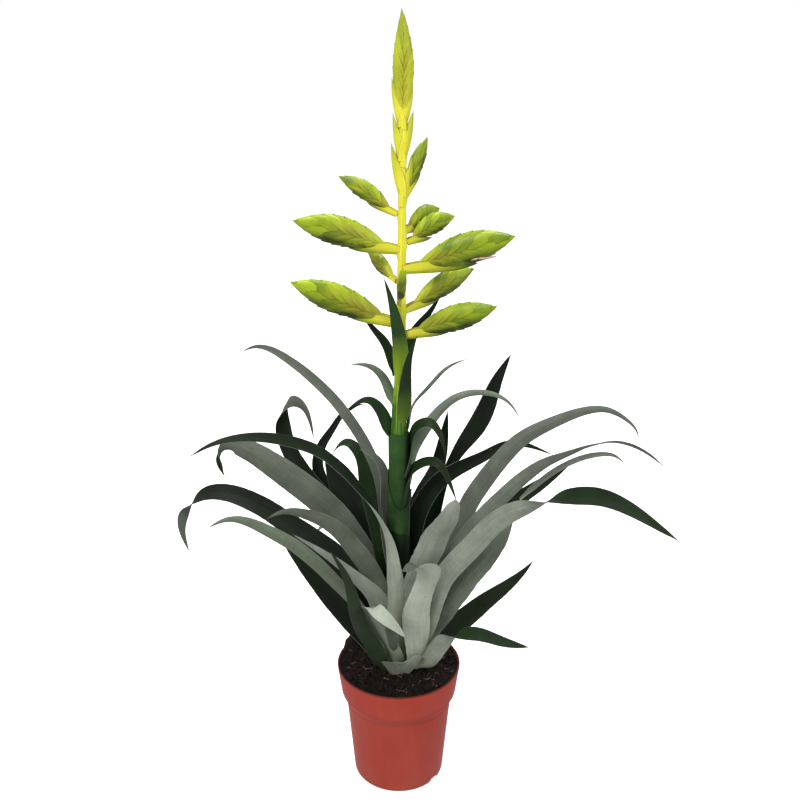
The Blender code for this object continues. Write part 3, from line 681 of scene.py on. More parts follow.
def pot_material():
    """Matte terracotta-red plastic: a faint mottle, fine moulding grain, scuffs, greyer and paler towards the
    foot, and painted shade in a band at the step.
    """
    g = Graph("pot_plastic")
    place = g.place()
    height = g.height()
    cloud = g.noise(place, 22.0, 4.0)
    grain = g.noise(place, 1400.0, 2.0)
    stretched = g.add("ShaderNodeMapping", {"Vector": place, "Scale": (1.0, 1.0, 0.16)})
    flow = g.noise(stretched, 120.0)
    colour = g.mix(cloud.between(0.3, 0.7), (0.355, 0.044, 0.027), (0.400, 0.056, 0.037))
    colour = g.mix(flow.between(0.50, 0.75) * 0.20, colour, (0.46, 0.085, 0.065))
    # Greyer and paler towards the foot, in patches.
    paler_foot = height.between(0.030, 0.0) * cloud.between(0.35, 0.65)
    colour = g.mix(paler_foot * 0.20, colour, (0.32, 0.11, 0.085))
    specks = g.spots(place, 120.0, 0.10) * cloud.between(0.54, 0.62)
    colour = g.mix(specks * 0.5, colour, (0.16, 0.04, 0.03))
    # Painted shade: the band round the step under the collar darkened, where the ledge faces down.
    step = height.between(0.0805, 0.0850) * height.between(0.0965, 0.0920)
    colour = g.mix(step * 0.35, colour, (0.34, 0.036, 0.020))
    colour = g.mix(height.between(0.1204, 0.1214) * 0.85, colour, (0.075, 0.014, 0.010))
    roughness = cloud * 0.18 + step * 0.45 + 0.42
    normal = g.bump(grain, 0.10, 0.0002, g.bump(flow, 0.10, 0.0006))
    sheen = {"Sheen_Weight": 0.18, "Sheen_Roughness": 0.45, "Sheen_Tint": (1.0, 0.62, 0.66)}
    return g.finish(colour, roughness, normal, 0.08, **sheen)


def soil_material():
    """Moist dark peat: nearly black with brown crumbs."""
    g = Graph("peat")
    place = g.place()
    cloud = g.noise(place, 160.0, 5.0, 0.65)
    fine = g.noise(place, 900.0, 4.0, 0.7)
    colour = g.mix(cloud.between(0.35, 0.70), (0.0032, 0.0022, 0.0020), (0.016, 0.009, 0.006))
    colour = g.mix(fine.between(0.62, 0.80), colour, (0.045, 0.026, 0.018))
    normal = g.bump(fine, 0.8, 0.0010, g.bump(cloud, 0.9, 0.0020))
    return g.finish(colour, fine * 0.35 + 0.55, normal, 0.15)


def fibre_material():
    """Pale dry rootlets and straw in the peat."""
    g = Graph("rootlet")
    cloud = g.noise(g.place(), 300.0)
    colour = g.mix(cloud.between(0.3, 0.7), (0.045, 0.028, 0.022), (0.30, 0.20, 0.15))
    return g.finish(colour, cloud * 0.2 + 0.6, g.bump(cloud, 0.4, 0.0003))


def petal_material():
    """The dried, pinkish end of a spent flower."""
    g = Graph("dried_flower")
    cloud = g.noise(g.place(), 400.0)
    colour = g.mix(cloud.between(0.35, 0.65), (0.30, 0.12, 0.12), (0.62, 0.42, 0.36))
    return g.finish(colour, cloud * 0.2 + 0.55, g.bump(cloud, 0.5, 0.0003))


def floor_material():
    g = Graph("studio_floor")
    cloud = g.noise(g.place(), 3.0, 2.0)
    colour = g.mix(cloud, (0.90, 0.90, 0.90), (0.93, 0.93, 0.93))
    glow = {"Emission_Color": (1, 1, 1), "Emission_Strength": 0.62}
    return g.finish(colour, cloud * 0.05 + 0.8, g.bump(cloud, 0.02, 0.001), 0.1, **glow)


# ---------------------------------------------- leaves

BLADE_COLUMNS = 11
BLADE_STEP = 0.003
BLADE_MID_THICKNESS = 0.0011
BLADE_MARGIN_THICKNESS = 0.00028
# The sheath: how far it goes down, how low it ends at most, the least drop that counts, and how far in its
# foot is drawn, as a share of the base's distance, on a low leaf and on one that starts above HIGH_BASE
SHEATH_DROP = 32
SHEATH_LOWEST = 116
LEAST_DROP = 4
HIGH_BASE = 250
LOW_DRAWN_IN = 0.62
HIGH_DRAWN_IN = 0.4
CLASPED_SHARE = 0.30


def rooted_line(line, clasp):
    """The centre line with one more point below its base, close to the stem, where the sheath starts."""
    out, up, side = (*line[0], 0)[:3]
    lowest = max(SHEATH_LOWEST, up - SHEATH_DROP * clasp)
    if up - lowest < LEAST_DROP:
        return line
    share = LOW_DRAWN_IN if up < HIGH_BASE else HIGH_DRAWN_IN
    return ((max(5, out * share), lowest, side * share), *line)


def eased(values, share):
    """A smooth curve through values at even steps, read at each share from 0 to 1."""
    line = curve_through([(100 * i, value) for i, value in enumerate(values)], 400)
    return np.interp(share, line[:, 0] / (100 * (len(values) - 1)), line[:, 1])


def blade(name, azimuth, width, look, line):
    """A strap leaf or bract: a closed thin shell that clasps the stem, opens out, turns and tapers."""
    draw = random.Random(name)
    line = rooted_line(line, look["clasp"])
    rough_points, _ = placed_line(azimuth, line, 60)
    length = np.linalg.norm(np.diff(rough_points, axis=0), axis=1).sum()
    rows = int(np.clip(length / BLADE_STEP, 16, 120))
    points, ahead = placed_line(azimuth, line, rows)
    share = np.linspace(0, 1, rows)[:, None]
    at = share * length
    across = np.linspace(-1, 1, BLADE_COLUMNS)
    side = plane_axes(azimuth)[1]

    clasping = np.clip(1 - share / CLASPED_SHARE, 0, 1) * min(1, look["clasp"] * 3)
    round_stem = unit(np.cross(UP, points * (1, 1, 0)))
    level = side * (1 - clasping) + round_stem * clasping
    level = unit(level - ahead * (level * ahead).sum(1, keepdims=True))
    upper = np.cross(ahead, level)
    turn = eased(look["face"], share) * smooth_step(share / 0.14)
    turn = np.radians(turn) * (1 if side[1] > 0 else -1)
    turned_level = level * np.cos(turn) + upper * np.sin(turn)
    turned_upper = upper * np.cos(turn) - level * np.sin(turn)

    opening = look["base"] + (1 - look["base"]) * smooth_step(share / CLASPED_SHARE)
    half = 0.5 * width * MM * opening * np.maximum(0.012, eased(look["shape"], share))
    half = half * np.minimum(1, ((1 - share) / 0.035 + 0.02)) ** 0.6
    phases = [draw.uniform(0, 6.28) for _ in range(6)]
    bulge = 0.6 * np.sin(at * 75 + phases[0]) + 0.4 * np.sin(at * 170 + phases[1])
    nicks = 0.5 * np.sin(at * 430 + phases[2]) + 0.5 * np.sin(at * 690 + phases[3])
    left = half * (1 + look["ragged"] * (0.6 * bulge + 0.4 * nicks))
    right = half * (1 - look["ragged"] * (0.7 * bulge - 0.3 * nicks))

    arc = np.interp(share, (0, 0.15, 0.4, 1), (1.15, 0.75, 0.50, 0.30))
    ripple = 0.045 * np.sin(at * 60 + phases[4]) * across**3
    ripple = ripple + 0.03 * np.sin(at * 145 + phases[5]) * across**2
    wide = np.where(across < 0, left, right)
    flat = wide * np.sin(arc * across) / arc
    rise = wide * (1 - np.cos(arc * across)) / arc + half * ripple
    rise = rise - 0.06 * half * np.exp(-((across / 0.16) ** 2))
    middle = points[:, None] + turned_level[:, None] * flat[..., None]
    middle = middle + turned_upper[:, None] * rise[..., None]

    thicker = BLADE_MID_THICKNESS * (1 - 0.45 * share) - BLADE_MARGIN_THICKNESS
    thickness = BLADE_MARGIN_THICKNESS + thicker * (1 - across**2)
    thickness = np.minimum(thickness, 0.5 * half)
    offset = normals_of(middle) * thickness[..., None] / 2

    attributes = on_both_layers(
        (rows, BLADE_COLUMNS),
        across=across,
        along=at + 3 * draw.random(),
        share=share * (0.9 if look["shape"][-1] > 0.1 else 1),
        fresh=look["fresh"] + look["base_fresh"] * np.clip(1 - share / 0.5, 0, 1),
        lime=look["lime"] * np.clip(1.2 - share / 0.38, 0, 1),
    )
    attributes["silver"] = np.repeat((look["upper"], look["under"]), rows * BLADE_COLUMNS)
    return make_object(name + "_blade", *shell(middle + offset, middle - offset, True), attributes)


# ---------------------------------------------- spikes

SCALE_ROWS = 12
SCALE_COLUMNS = 11
SCALE_THICKNESS = 0.0004
SPIKE_DEPTH = 0.42
LAYER_LIFT = 0.0018
AXIS_POINTS = 41
FIRST_END = 0.30
CORE_END = 0.985
FOLD_ROWS = 16
FOLD_COLUMNS = 13


def spike_outline(share):
    """A side spike's half-width as a share of its largest: a wedge from the stalk, then a blunt point."""
    inside = np.clip(share, 0, 1)
    stalk = 0.26 * (1 - inside)
    return np.maximum(stalk, np.sin(np.pi * np.minimum(inside, 0.9995) ** 1.22) ** 0.85)


def top_outline(share):
    """The same for the top spike: broad at its base, and drawn out to a sharp point."""
    inside = np.clip(share, 0, 1)
    lower = 0.62 + 0.38 * smooth_step(inside / 0.5)
    upper = 1 - np.clip((inside - 0.5) / 0.5, 0, 1) ** 1.55
    return np.maximum(0.005, np.minimum(lower, upper))


def spike_values(u, v, share, tone, yellow, low=0.0):
    """The attributes that the spike's material reads, on the grid that u and v span."""
    grid = np.broadcast_shapes(u.shape, v.shape)
    return on_both_layers(grid, across=u, along=v, share=share, tone=tone, yellow=yellow, low=low)


def scale_shell(axis_at, outline, half, start, end, rank, yellow, draw):
    """One scale of a spike: folded along its keel at the margin, its two wings on the front and back faces.

    It starts inside the one below, reaches the margin half way, and ends there in a tooth. The last ones
    keep covering the middle, so that the spike closes in a point.
    """
    v = np.linspace(0, 1, SCALE_ROWS)[:, None]
    u = np.linspace(-1, 1, SCALE_COLUMNS)
    share = start + (end - start) * v
    closing = float(smooth_step((end - 0.72) / 0.28))
    limit = outline(share) * half
    tooth = 0.085 * half * v**4 * (1 - closing)
    keel = limit * np.minimum(1, 0.35 + 1.3 * v) + tooth
    inner = keel * (-0.30 + 1.30 * v**1.5 * (1 - closing))
    height = keel + (inner - keel) * np.abs(u) ** 1.15
    out_share = height / (limit + tooth + 1e-6)
    roundness = np.sqrt(np.clip(1 - out_share**2, 0, 1))
    depth = SPIKE_DEPTH * limit * roundness + LAYER_LIFT * (0.25 + v) * np.minimum(1, 4 * np.abs(u))
    depth = depth * smooth_step(np.abs(u) / 0.22) * (1 - 0.75 * v**6 * (1 - closing)) * np.sign(u)
    point, rise, side = axis_at(share)
    sign = 1 if rank == 0 else -1
    surface = point + rise * (sign * height)[..., None] + side * depth[..., None]
    inside = surface - normals_of(surface) * sign * SCALE_THICKNESS
    local_yellow = yellow + 1.1 * np.clip(0.45 - share, 0, 1)
    # Painted shade: on a side spike's lower rank, how near the lower margin, where the material darkens it.
    low = np.clip(out_share, 0, 1) * (rank if outline is spike_outline else 0)
    values = spike_values(np.abs(u), v, share, draw.uniform(0, 1), local_yellow, low)
    return *shell(surface, inside, rank == 0), values


def spike_axis(azimuth, line):
    """A function from shares along the spike to points, the rise direction and the side direction."""
    points, ahead = placed_line(azimuth, line, AXIS_POINTS)
    side = plane_axes(azimuth)[1]
    rise = unit(np.cross(ahead, side))
    rise = rise * np.where(rise[:, 2:3] + 0.2 * rise[:, 0:1] < 0, -1, 1)
    marks = np.linspace(0, 1, AXIS_POINTS)

    def read(values, share):
        return np.stack([np.interp(share, marks, column) for column in values.T], -1)

    return lambda share: (read(points, share), unit(read(rise, share)), side)


def spike_core(axis_at, outline, half, yellow):
    """The stalk and the body inside the scales: slim at the stem, and filling the outline at the tip."""
    share = np.linspace(0, CORE_END, 20)[:, None]
    ring = np.linspace(0, 2 * np.pi, 13)[None, :]
    point, rise, side = axis_at(share)
    fill = 0.50 + 0.42 * smooth_step((share - 0.55) / 0.4)
    core = np.maximum(0.02 * half, fill * half * outline(share)) + 0.0010 * (1 - share) ** 3
    flatness = 0.6 - 0.3 * share
    tube = point + rise * (core * np.cos(ring))[..., None]
    tube = tube + side * (flatness * core * np.sin(ring))[..., None]
    values = spike_values(0.3 + 0 * ring, 0.5 * share, share, 0.6, yellow + np.clip(0.5 - share, 0, 1))
    return *shell(tube, point + (tube - point) * 0.6), values


def spike(name, azimuth, width, scales, yellow, line, outline):
    """A flat spike: a thin core, then two ranks of overlapping scales, each covering the next one's base."""
    draw = random.Random(name)
    axis_at = spike_axis(azimuth, line)
    half = 0.5 * width * MM
    shells = [spike_core(axis_at, outline, half, yellow)]
    reach = 0.95 / scales + 0.22
    for i in range(2 * scales):
        end = FIRST_END + (1.0 - FIRST_END) * (i + 1) / (2 * scales)
        end = min(1.0, end + draw.uniform(-0.006, 0.006))
        start = max(0.02, end - reach * draw.uniform(0.95, 1.05))
        shells.append(scale_shell(axis_at, outline, half, start, end, i % 2, yellow, draw))
    return joined(name + "_scales", shells)


def folded_bract(name, azimuth, keel, margin, depth, yellow, dark_tip=0.0):
    """A pointed boat-shaped bract: folded along KEEL, its two wings reaching MARGIN on both faces.

    Both lines are (out, up) in millimetres in the upright plane at the azimuth, and they meet at the tip.
    """
    out, side = plane_axes(azimuth)
    keel_line = curve_through(keel, FOLD_ROWS)[:, None, :] * MM
    margin_line = curve_through(margin, FOLD_ROWS)[:, None, :] * MM
    v = np.linspace(0, 1, FOLD_ROWS)[:, None]
    u = np.linspace(-1, 1, FOLD_COLUMNS)
    flat = keel_line + (margin_line - keel_line) * (np.abs(u) ** 1.1)[:, None]
    bulge = depth * MM * np.sin(np.pi / 2 * np.minimum(1, 1.7 * np.abs(u))) * np.sign(u)
    bulge = bulge * (1 - v**2.2) * (1 - 0.15 * np.abs(u))
    surface = out * flat[..., 0:1] + UP * flat[..., 1:2] + side * bulge[..., None]
    normal = normals_of(surface)
    away = surface - (keel_line + margin_line) @ np.array([out, UP]) / 2
    inward = (normal * away).sum() < 0
    inside = surface - normal * (-SCALE_THICKNESS if inward else SCALE_THICKNESS)
    # The bract's own dark tip, which the material mixes with the same colour as the painted shade on the side
    # spikes' lower margins.
    low = dark_tip * v**1.5 * (1 - 0.4 * np.abs(u))
    tone = random.Random(name).random()
    values = spike_values(np.abs(u), 0.45 + 0.55 * v, 0.6, tone, yellow - 0.8 * v**2, low)
    return joined(name, [(*shell(surface, inside, not inward), values)])


def primary_bract(name, azimuth, width, line, yellow, reach=0.44, below=0.0):
    """The folded bract under a side spike, from the stalk to a point on the spike's lower margin."""
    base = np.array(line[0], float)
    ahead = np.array(line[-1], float) - base
    rise = np.array([-ahead[1], ahead[0]]) / np.linalg.norm(ahead)
    low = width * (0.40 + below)
    start = base - 0.04 * ahead
    tip = base + reach * ahead - rise * low
    keel = (
        start - rise * width * 0.17,
        base + 0.42 * reach * ahead - rise * (low * 0.86),
        base + 0.78 * reach * ahead - rise * (low * 1.06),
        tip,
    )
    margin = (
        start + rise * width * 0.16,
        base + 0.35 * reach * ahead + rise * width * (0.10 - 0.6 * below),
        base + 0.72 * reach * ahead - rise * (low * 0.52),
        tip,
    )
    return folded_bract(name + "_bract", azimuth, keel, margin, width * 0.19, yellow + 0.85, 0.9)


def top_bract(name, direction, base, tip, reach, width):
    """A folded bract that hugs the upper stalk: its keel on one side, its margins meeting on the other."""
    lean = 3.2 * direction
    length = tip - base
    outward = reach - lean
    keel = (
        (lean + 3.0, base),
        (lean + 0.70 * outward, base + 0.30 * length),
        (lean + 0.97 * outward, base + 0.66 * length),
        (reach, tip),
    )
    margin = (
        (lean - 3.6, base),
        (lean - 0.30 * width, base + 0.28 * length),
        (lean + 0.30 * outward, base + 0.66 * length),
        (reach, tip),
    )
    return folded_bract(name + "_fold", 0 if direction > 0 else 180, keel, margin, 4.6, 1.35)


# ---------------------------------------------- stem

STEM_SIDES = 40
STEM_ROWS = 260
# How much fuller or slimmer than in the CAD part, at these heights
STEM_FULLNESS = ((0.40, 1), (0.46, 0.90), (0.56, 0.86), (0.595, 1.0), (0.615, 1.3), (0.648, 2.1))

# bottom, top, growth in radius, azimuth of the opening, how much lower the edge is there, and how fresh
STALK_SHEATHS = (
    (0.196, 0.268, 0.0016, 60, 0.020, 0.15),
    (0.222, 0.300, 0.0012, 200, 0.024, 0.20),
    (0.250, 0.3300, 0.0021, 285, 0.040, 0.70),
    (0.262, 0.3640, 0.0018, 105, 0.002, 0.60),
)
SHEATH_ROWS = 26
SHEATH_COLUMNS = 56
SHEATH_OVERLAP = 0.9
SHEATH_THICKNESS = 0.00045


def stem_at(height):
    """The stem's radius and lean at this height."""
    heights, radii, leans = zip(*STEM_LINE)
    return np.interp(height, heights, radii), np.interp(height, heights, leans)


def stem():
    """The stalk with shallow lengthwise ribs, and a swelling where each spike leaves it."""
    heights = np.linspace(STEM_LINE[0][0], STEM_LINE[-1][0], STEM_ROWS)[:, None]
    radii, leans = stem_at(heights)
    angle = np.linspace(0, 2 * np.pi, STEM_SIDES + 1)
    fullness = np.interp(heights, *zip(*STEM_FULLNESS))
    radius = fullness * radii * (1 + 0.035 * np.sin(angle * 5 + heights * 20))
    for _, azimuth, _, _, _, line in SPIKES:
        near = np.exp(-(((heights - (line[0][1] - 3) * MM) / 0.004) ** 2))
        facing = np.clip(np.cos(angle - math.radians(azimuth)), 0, 1) ** 2
        radius = radius + 0.0010 * near * (0.25 + facing) * np.minimum(1, radii / 0.0035)
    x = leans + radius * np.cos(angle)
    y = radius * np.sin(angle)
    z = heights + 0 * angle
    outer = np.stack([x, y, z], -1)
    inner = np.stack([leans + (x - leans) * 0.5, y * 0.5, z], -1)
    around = on_both_layers(z.shape, across=angle / (2 * np.pi))
    return make_object("stem_stalk", *shell(outer, inner, True), around)


def stalk_sheath(number, bottom, top, growth, opening, slant, fresh):
    """A closed leaf sheath rolled round the stalk: its margins overlap, and its edge dips at the opening."""
    share = np.linspace(0, 1, SHEATH_ROWS)[:, None]
    turn = np.linspace(0, 2 * np.pi + SHEATH_OVERLAP, SHEATH_COLUMNS)
    dip = slant * (0.5 + 0.5 * np.cos(turn)) ** 1.5
    height = bottom + (top - dip - bottom) * share
    radius, lean = stem_at(height)
    radius = radius + growth * (0.45 + 0.65 * share) + 0.0007 * turn / (2 * np.pi)
    angle = turn + math.radians(opening)

    def layer(radius):
        return np.stack([lean + radius * np.cos(angle), radius * np.sin(angle), height], -1)

    attributes = on_both_layers(
        height.shape,
        across=turn / turn.max() * 2 - 1,
        along=height,
        share=0.3 + 0.3 * share,
        silver=0.02,
        fresh=fresh * (0.7 + 0.3 * np.cos(angle - 3.6)),
        lime=0.0,
    )
    whole = shell(layer(radius), layer(radius - SHEATH_THICKNESS), True)
    return make_object(f"stalk_sheath_{number}", *whole, attributes)


# ---------------------------------------------- pot and soil

POT_STEPS = 144
STEP_BEND = 0.004
CORNER_CUT = 0.45
SOIL_RINGS = 96
SOIL_STEPS = 240
SOIL_GAP = 0.0006
SOIL_LIFT = 0.0003
CRUMBS = 620
ROOTLETS = 95


def rounded_corner(before, corner, after):
    """Points on a short curve that cuts the corner, nearly half way towards its neighbours."""
    before, corner, after = (np.array(point, float) for point in (before, corner, after))
    first = corner + CORNER_CUT * (before - corner)
    last = corner + CORNER_CUT * (after - corner)
    shares = np.linspace(0, 1, 7)
    return [tuple((1 - t) ** 2 * first + 2 * t * (1 - t) * corner + t**2 * last) for t in shares]


def pot_profile():
    """Up the inside from the floor, over the rounded lip and down the outside."""
    lip = WALL / 2
    lip_arc = [
        (RIM_RADIUS - lip + lip * math.cos(angle), POT_HEIGHT - lip + lip * math.sin(angle))
        for angle in np.linspace(math.pi, 0, 9)
    ]
    foot_arc = [
        (FOOT_RADIUS - FOOT_ROUND * (1 - math.cos(angle)), FOOT_ROUND * (1 - math.sin(angle)))
        for angle in np.linspace(0, math.pi / 2, 9)
    ]
    step = ((COLLAR_FOOT_RADIUS, COLLAR_FOOT), (STEP_RADIUS, STEP_FOOT))
    above = (COLLAR_FOOT_RADIUS + 0.0003, COLLAR_FOOT + STEP_BEND)
    below = (STEP_RADIUS - 0.0003, STEP_FOOT - STEP_BEND)
    return (
        (0, FLOOR),
        (FOOT_RADIUS - WALL - FOOT_ROUND, FLOOR),
        (FOOT_RADIUS - WALL, FLOOR + FOOT_ROUND),
        (STEP_RADIUS - WALL, STEP_FOOT + WALL),
        (COLLAR_FOOT_RADIUS - WALL, COLLAR_FOOT + WALL),
        *lip_arc,
        *rounded_corner(above, *step),
        *rounded_corner(*step, below),
        *foot_arc,
        (0, 0),
    )


def cutter(shape, radius, angle, height, turn):
    """A helper object that cuts the pot at this distance from its axis."""
    mesh = bpy.data.meshes.new("cutter")
    shape.to_mesh(mesh)
    shape.free()
    thing = linked("cutter", mesh)
    thing.location = (radius * math.cos(angle), radius * math.sin(angle), height)
    thing.rotation_euler.z = turn
    return thing


def pot_cutters():
    made = []
    size = {"radius1": DRAIN_RADIUS, "radius2": DRAIN_RADIUS, "depth": 4 * FLOOR}
    for number in range(DRAIN_HOLES):
        shape = bmesh.new()
        bmesh.ops.create_cone(shape, cap_ends=True, segments=24, **size)
        made.append(cutter(shape, DRAIN_CIRCLE, 2 * math.pi * number / DRAIN_HOLES, FLOOR / 2, 0))
    for angle in map(math.radians, NOTCH_AZIMUTHS):
        shape = bmesh.new()
        bmesh.ops.create_cube(shape, size=1)
        bmesh.ops.scale(shape, vec=NOTCH_SIZE, verts=shape.verts)
        bmesh.ops.bevel(shape, geom=shape.edges, offset=0.002, segments=3, affect="EDGES")
        made.append(cutter(shape, FOOT_RADIUS, angle, 0, angle))
    return made


def pot():
    """The thin-walled pot, turned from its profile, with its drain holes and notches cut."""
    mesh = bpy.data.meshes.new("pot_shell")
    points = [(radius, 0, height) for radius, height in pot_profile()]
    mesh.from_pydata(points, [(i, i + 1) for i in range(len(points) - 1)], [])
    thing = linked("pot_shell", mesh)
    screw = thing.modifiers.new("Screw", "SCREW")
    screw.steps = POT_STEPS
    screw.render_steps = POT_STEPS
    screw.use_merge_vertices = True
    screw.merge_threshold = 0.00001
    cutters = pot_cutters()
    for other in cutters:
        thing.modifiers.new("Cut", "BOOLEAN").object = other
    bpy.context.view_layer.update()
    graph = bpy.context.evaluated_depsgraph_get()
    whole = bpy.data.meshes.new_from_object(thing.evaluated_get(graph))
    thing.modifiers.clear()
    thing.data = whole
    for other in cutters:
        bpy.data.objects.remove(other)
    whole.shade_smooth()
    whole.set_sharp_from_angle(angle=math.radians(32))
    return thing


def soil_top(x, y):
    """The height of the soil: heaped round the plant, one lump at the back left, and crumbs of two sizes."""
    radius = math.hypot(x, y)
    heap = SOIL_HEAP * math.exp(-((radius / SOIL_CROWN_RADIUS) ** 2))
    away = math.hypot(x - SOIL_LUMP_AT[0], y - SOIL_LUMP_AT[1])
    lump = SOIL_LUMP * math.exp(-((away / SOIL_LUMP_SPREAD) ** 2))
    coarse = noise.fractal(Vector((x * 130, y * 130, 2.0)), 0.9, 2.1, 3)
    crumb = noise.fractal(Vector((x * 420, y * 420, 5.0)), 0.7, 2.2, 4)
    return SOIL_EDGE_TOP + heap + lump + 0.0023 * coarse + 0.0014 * crumb


def soil():
    """The root ball: a rough heaped top, and plain sides inside the pot."""
    edge = RIM_RADIUS - WALL - SOIL_GAP
    rings = [(edge * i / SOIL_RINGS, None) for i in range(1, SOIL_RINGS + 1)]
    rings += [
        (COLLAR_FOOT_RADIUS - WALL - SOIL_GAP, COLLAR_FOOT + WALL),
        (STEP_RADIUS - WALL - SOIL_GAP, STEP_FOOT),
        (FOOT_RADIUS - WALL - SOIL_GAP, FLOOR + FOOT_ROUND),
        (FOOT_RADIUS - WALL - FOOT_ROUND, FLOOR + SOIL_LIFT),
    ]
    points = [(0, 0, soil_top(0, 0))]
    for radius, height in rings:
        for j in range(SOIL_STEPS):
            angle = 2 * math.pi * j / SOIL_STEPS
            x = radius * math.cos(angle)
            y = radius * math.sin(angle)
            points.append((x, y, soil_top(x, y) if height is None else height))
    points.append((0, 0, FLOOR + SOIL_LIFT))
    sides = [(j, (j + 1) % SOIL_STEPS) for j in range(SOIL_STEPS)]
    faces = [(0, 1 + j, 1 + k) for j, k in sides]
    for i in range(len(rings) - 1):
        here = 1 + i * SOIL_STEPS
        there = here + SOIL_STEPS
        faces += [(here + j, there + j, there + k, here + k) for j, k in sides]
    last = 1 + (len(rings) - 1) * SOIL_STEPS
    faces += [(last + k, last + j, len(points) - 1) for j, k in sides]
    return make_object("soil_peat", points, faces, None, 180)


def scattered(count, draw, inner=0.012, outer=0.0572):
    """Random places on the soil, evenly spread over its area."""
    for _ in range(count):
        radius = math.sqrt(draw.uniform(inner**2, outer**2))
        angle = draw.uniform(0, 2 * math.pi)
        x = radius * math.cos(angle)
        y = radius * math.sin(angle)
        yield x, y, soil_top(x, y)


def crumbs():
    """Loose crumbs of peat: small lumpy balls, sunk a little in the surface."""
    draw = random.Random(11)
    whole = bmesh.new()
    for number, (x, y, z) in enumerate(scattered(CRUMBS, draw)):
        big = number % 9 == 0
        size = draw.uniform(0.0018, 0.0034) if big else draw.uniform(0.0006, 0.0014)
        made = bmesh.ops.create_icosphere(whole, subdivisions=2 if big else 1, radius=1)
        squash = Vector((draw.uniform(0.7, 1.3), draw.uniform(0.7, 1.3), draw.uniform(0.5, 0.9)))
        for vertex in made["verts"]:
            lumpy = 1 + 0.35 * noise.noise(vertex.co * 1.7 + Vector((number, 0, 0)))
            vertex.co = vertex.co * squash * size * lumpy + Vector((x, y, z + 0.25 * size))
    mesh = bpy.data.meshes.new("soil_crumbs")
    whole.to_mesh(mesh)
    whole.free()
    mesh.shade_smooth()
    return linked("soil_crumbs", mesh)


def tube_along(points, radius, sides=5):
    """Points and faces of a thin closed tube that tapers to both ends."""
    points = np.array(points)
    rows = len(points)
    ahead = unit(np.gradient(points, axis=0))
    first = unit(np.cross(ahead, UP + 0.01))
    second = np.cross(ahead, first)
    share = np.linspace(0, 1, rows)
    thick = radius * (0.35 + 0.65 * np.sin(np.pi * share) ** 0.5)
    ring = np.linspace(0, 2 * np.pi, sides, endpoint=False)[:, None]
    around = first[:, None] * np.cos(ring) + second[:, None] * np.sin(ring)
    whole = points[:, None] + around * thick[:, None, None]
    faces = []
    for here in range(0, (rows - 1) * sides, sides):
        for j in range(sides):
            k = (j + 1) % sides
            faces.append((here + j, here + k, here + sides + k, here + sides + j))
    faces.append(tuple(range(sides))[::-1])
    faces.append(tuple(range((rows - 1) * sides, rows * sides)))
    return whole.reshape(-1, 3), faces


def rootlets():
    """Pale fibres that lie on the peat, most of them short, a few longer."""
    draw = random.Random(5)
    tubes = []
    for number, (x, y, _) in enumerate(scattered(ROOTLETS, draw, 0.018, 0.0545)):
        long = number % 12 == 0
        step = 0.0019 if long else 0.0009
        heading = draw.uniform(0, 2 * math.pi)
        curl = draw.uniform(-0.35, 0.35)
        lift = draw.uniform(0.0002, 0.0014)
        line = []
        for i in range(9 if long else 7):
            if math.hypot(x, y) > 0.0576:
                break
            line.append((x, y, soil_top(x, y) + lift * math.sin(math.pi * i / 7) + 0.0003))
            heading += curl + draw.uniform(-0.25, 0.25)
            x += step * math.cos(heading)
            y += step * math.sin(heading)
        if len(line) >= 4:
            tubes.append((*tube_along(line, draw.uniform(0.00013, 0.00028)), {}))
    return joined("soil_rootlets", tubes, 50)


# ---------------------------------------------- stage

FLOOR_SIZE = 6.0
WHITE = (1, 1, 1, 1)
LIT_STRENGTH = 0.56
SEEN_STRENGTH = 1.0
# name, place, diameter and power
LIGHTS = (
    ("key", (-1.3, -1.6, 2.1), 1.1, 47),
    ("fill", (1.6, -1.3, 1.2), 1.5, 17),
    ("top", (0.2, 0.5, 2.2), 1.0, 28),
)
LIGHTS_AIM = (0, 0, 0.3)
CAMERA_AT = (0.00135, -0.838, 0.697)
CAMERA_DOWN = 19.86


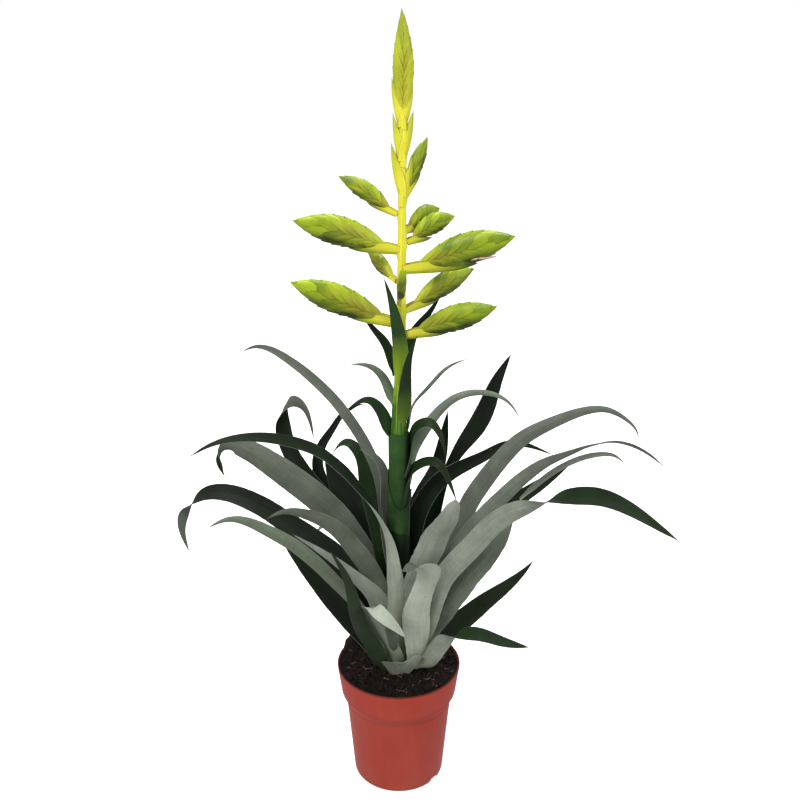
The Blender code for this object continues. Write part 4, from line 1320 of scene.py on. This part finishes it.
def studio():
    """A pale floor, a white surround, soft lights, and the camera at the front, a little above the plant."""
    mesh = bpy.data.meshes.new("studio_floor")
    corners = [(x * FLOOR_SIZE, y * FLOOR_SIZE, 0) for x, y in ((-1, -1), (1, -1), (1, 1), (-1, 1))]
    mesh.from_pydata(corners, [], [(0, 1, 2, 3)])
    floor = linked("studio_floor", mesh)
    floor.data.materials.append(floor_material())
    floor.visible_diffuse = False
    floor.visible_glossy = False

    world = bpy.data.worlds.new("studio")
    world.use_nodes = True
    tree = world.node_tree
    path = tree.nodes.new("ShaderNodeLightPath")
    mix = tree.nodes.new("ShaderNodeMixShader")
    tree.links.new(path.outputs["Is Camera Ray"], mix.inputs[0])
    backgrounds = (tree.nodes["Background"], tree.nodes.new("ShaderNodeBackground"))
    for number, strength in enumerate((LIT_STRENGTH, SEEN_STRENGTH)):
        background = backgrounds[number]
        background.inputs["Color"].default_value = WHITE
        background.inputs["Strength"].default_value = strength
        tree.links.new(background.outputs[0], mix.inputs[1 + number])
    tree.links.new(mix.outputs[0], tree.nodes["World Output"].inputs["Surface"])
    bpy.context.scene.world = world
    bpy.context.scene.view_settings.view_transform = "Standard"

    for name, place, size, power in LIGHTS:
        data = bpy.data.lights.new(name, "AREA")
        data.shape = "DISK"
        data.size = size
        data.energy = power
        light = linked(name, data)
        light.location = place
        light.rotation_euler = (Vector(LIGHTS_AIM) - Vector(place)).to_track_quat("-Z", "Y").to_euler()

    data = bpy.data.cameras.new("camera")
    data.sensor_width = 36
    data.lens = 45
    camera = linked("camera", data)
    camera.location = CAMERA_AT
    camera.rotation_euler = (math.radians(90 - CAMERA_DOWN), 0, 0)
    bpy.context.scene.camera = camera


# ---------------------------------------------- build

def main():
    leaf_look = leaf_material()
    spike_look = spike_material()
    soil_look = soil_material()

    for name, azimuth, width, look, line in LEAVES:
        finish_piece(blade(name, azimuth, width, {**LEAF_LOOK, **look}, line), leaf_look, "leaf", name)
    for name, azimuth, width, look, line in EXTRA_LEAVES:
        finish_piece(blade(name, azimuth, width, {**LEAF_LOOK, **look}, line), leaf_look, "leaf")
    for name, azimuth, width, look, line in BRACTS:
        full_look = {**LEAF_LOOK, **BRACT_LOOK, **look}
        finish_piece(blade(name, azimuth, width, full_look, line), leaf_look, "bract", name)
    for name, azimuth, width, scales, yellow, line in SPIKES:
        made = spike(name, azimuth, width, scales, yellow, line, spike_outline)
        finish_piece(made, spike_look, "spike", name)
        apart = {"reach": 0.62, "below": 0.10} if name == "spike_right_middle" else {}
        finish_piece(primary_bract(name, azimuth, width, line, yellow, **apart), spike_look, "spike")
    finish_piece(spike(*TOP_SPIKE, top_outline), spike_look, "spike", TOP_SPIKE[0])
    for number, row in enumerate(TOP_BRACTS):
        finish_piece(top_bract(*row), spike_look, "spike", *([row[0]] if number < TOP_BRACT_NODES else []))
    azimuth, line = DRIED_FLOWER
    tube = tube_along(placed_line(azimuth, line, 16)[0], 0.0010, 8)
    finish_piece(make_object("dried_flower", *tube), petal_material(), "spike")
    finish_piece(stem(), stem_material(), "stem", "stem")
    for number, sheath in enumerate(STALK_SHEATHS):
        finish_piece(stalk_sheath(number, *sheath), leaf_look, "stem")
    finish_piece(pot(), pot_material(), "pot", "pot")
    finish_piece(soil(), soil_look, "soil", "soil")
    finish_piece(crumbs(), soil_look, "soil")
    finish_piece(rootlets(), fibre_material(), "soil")
    studio()


main()
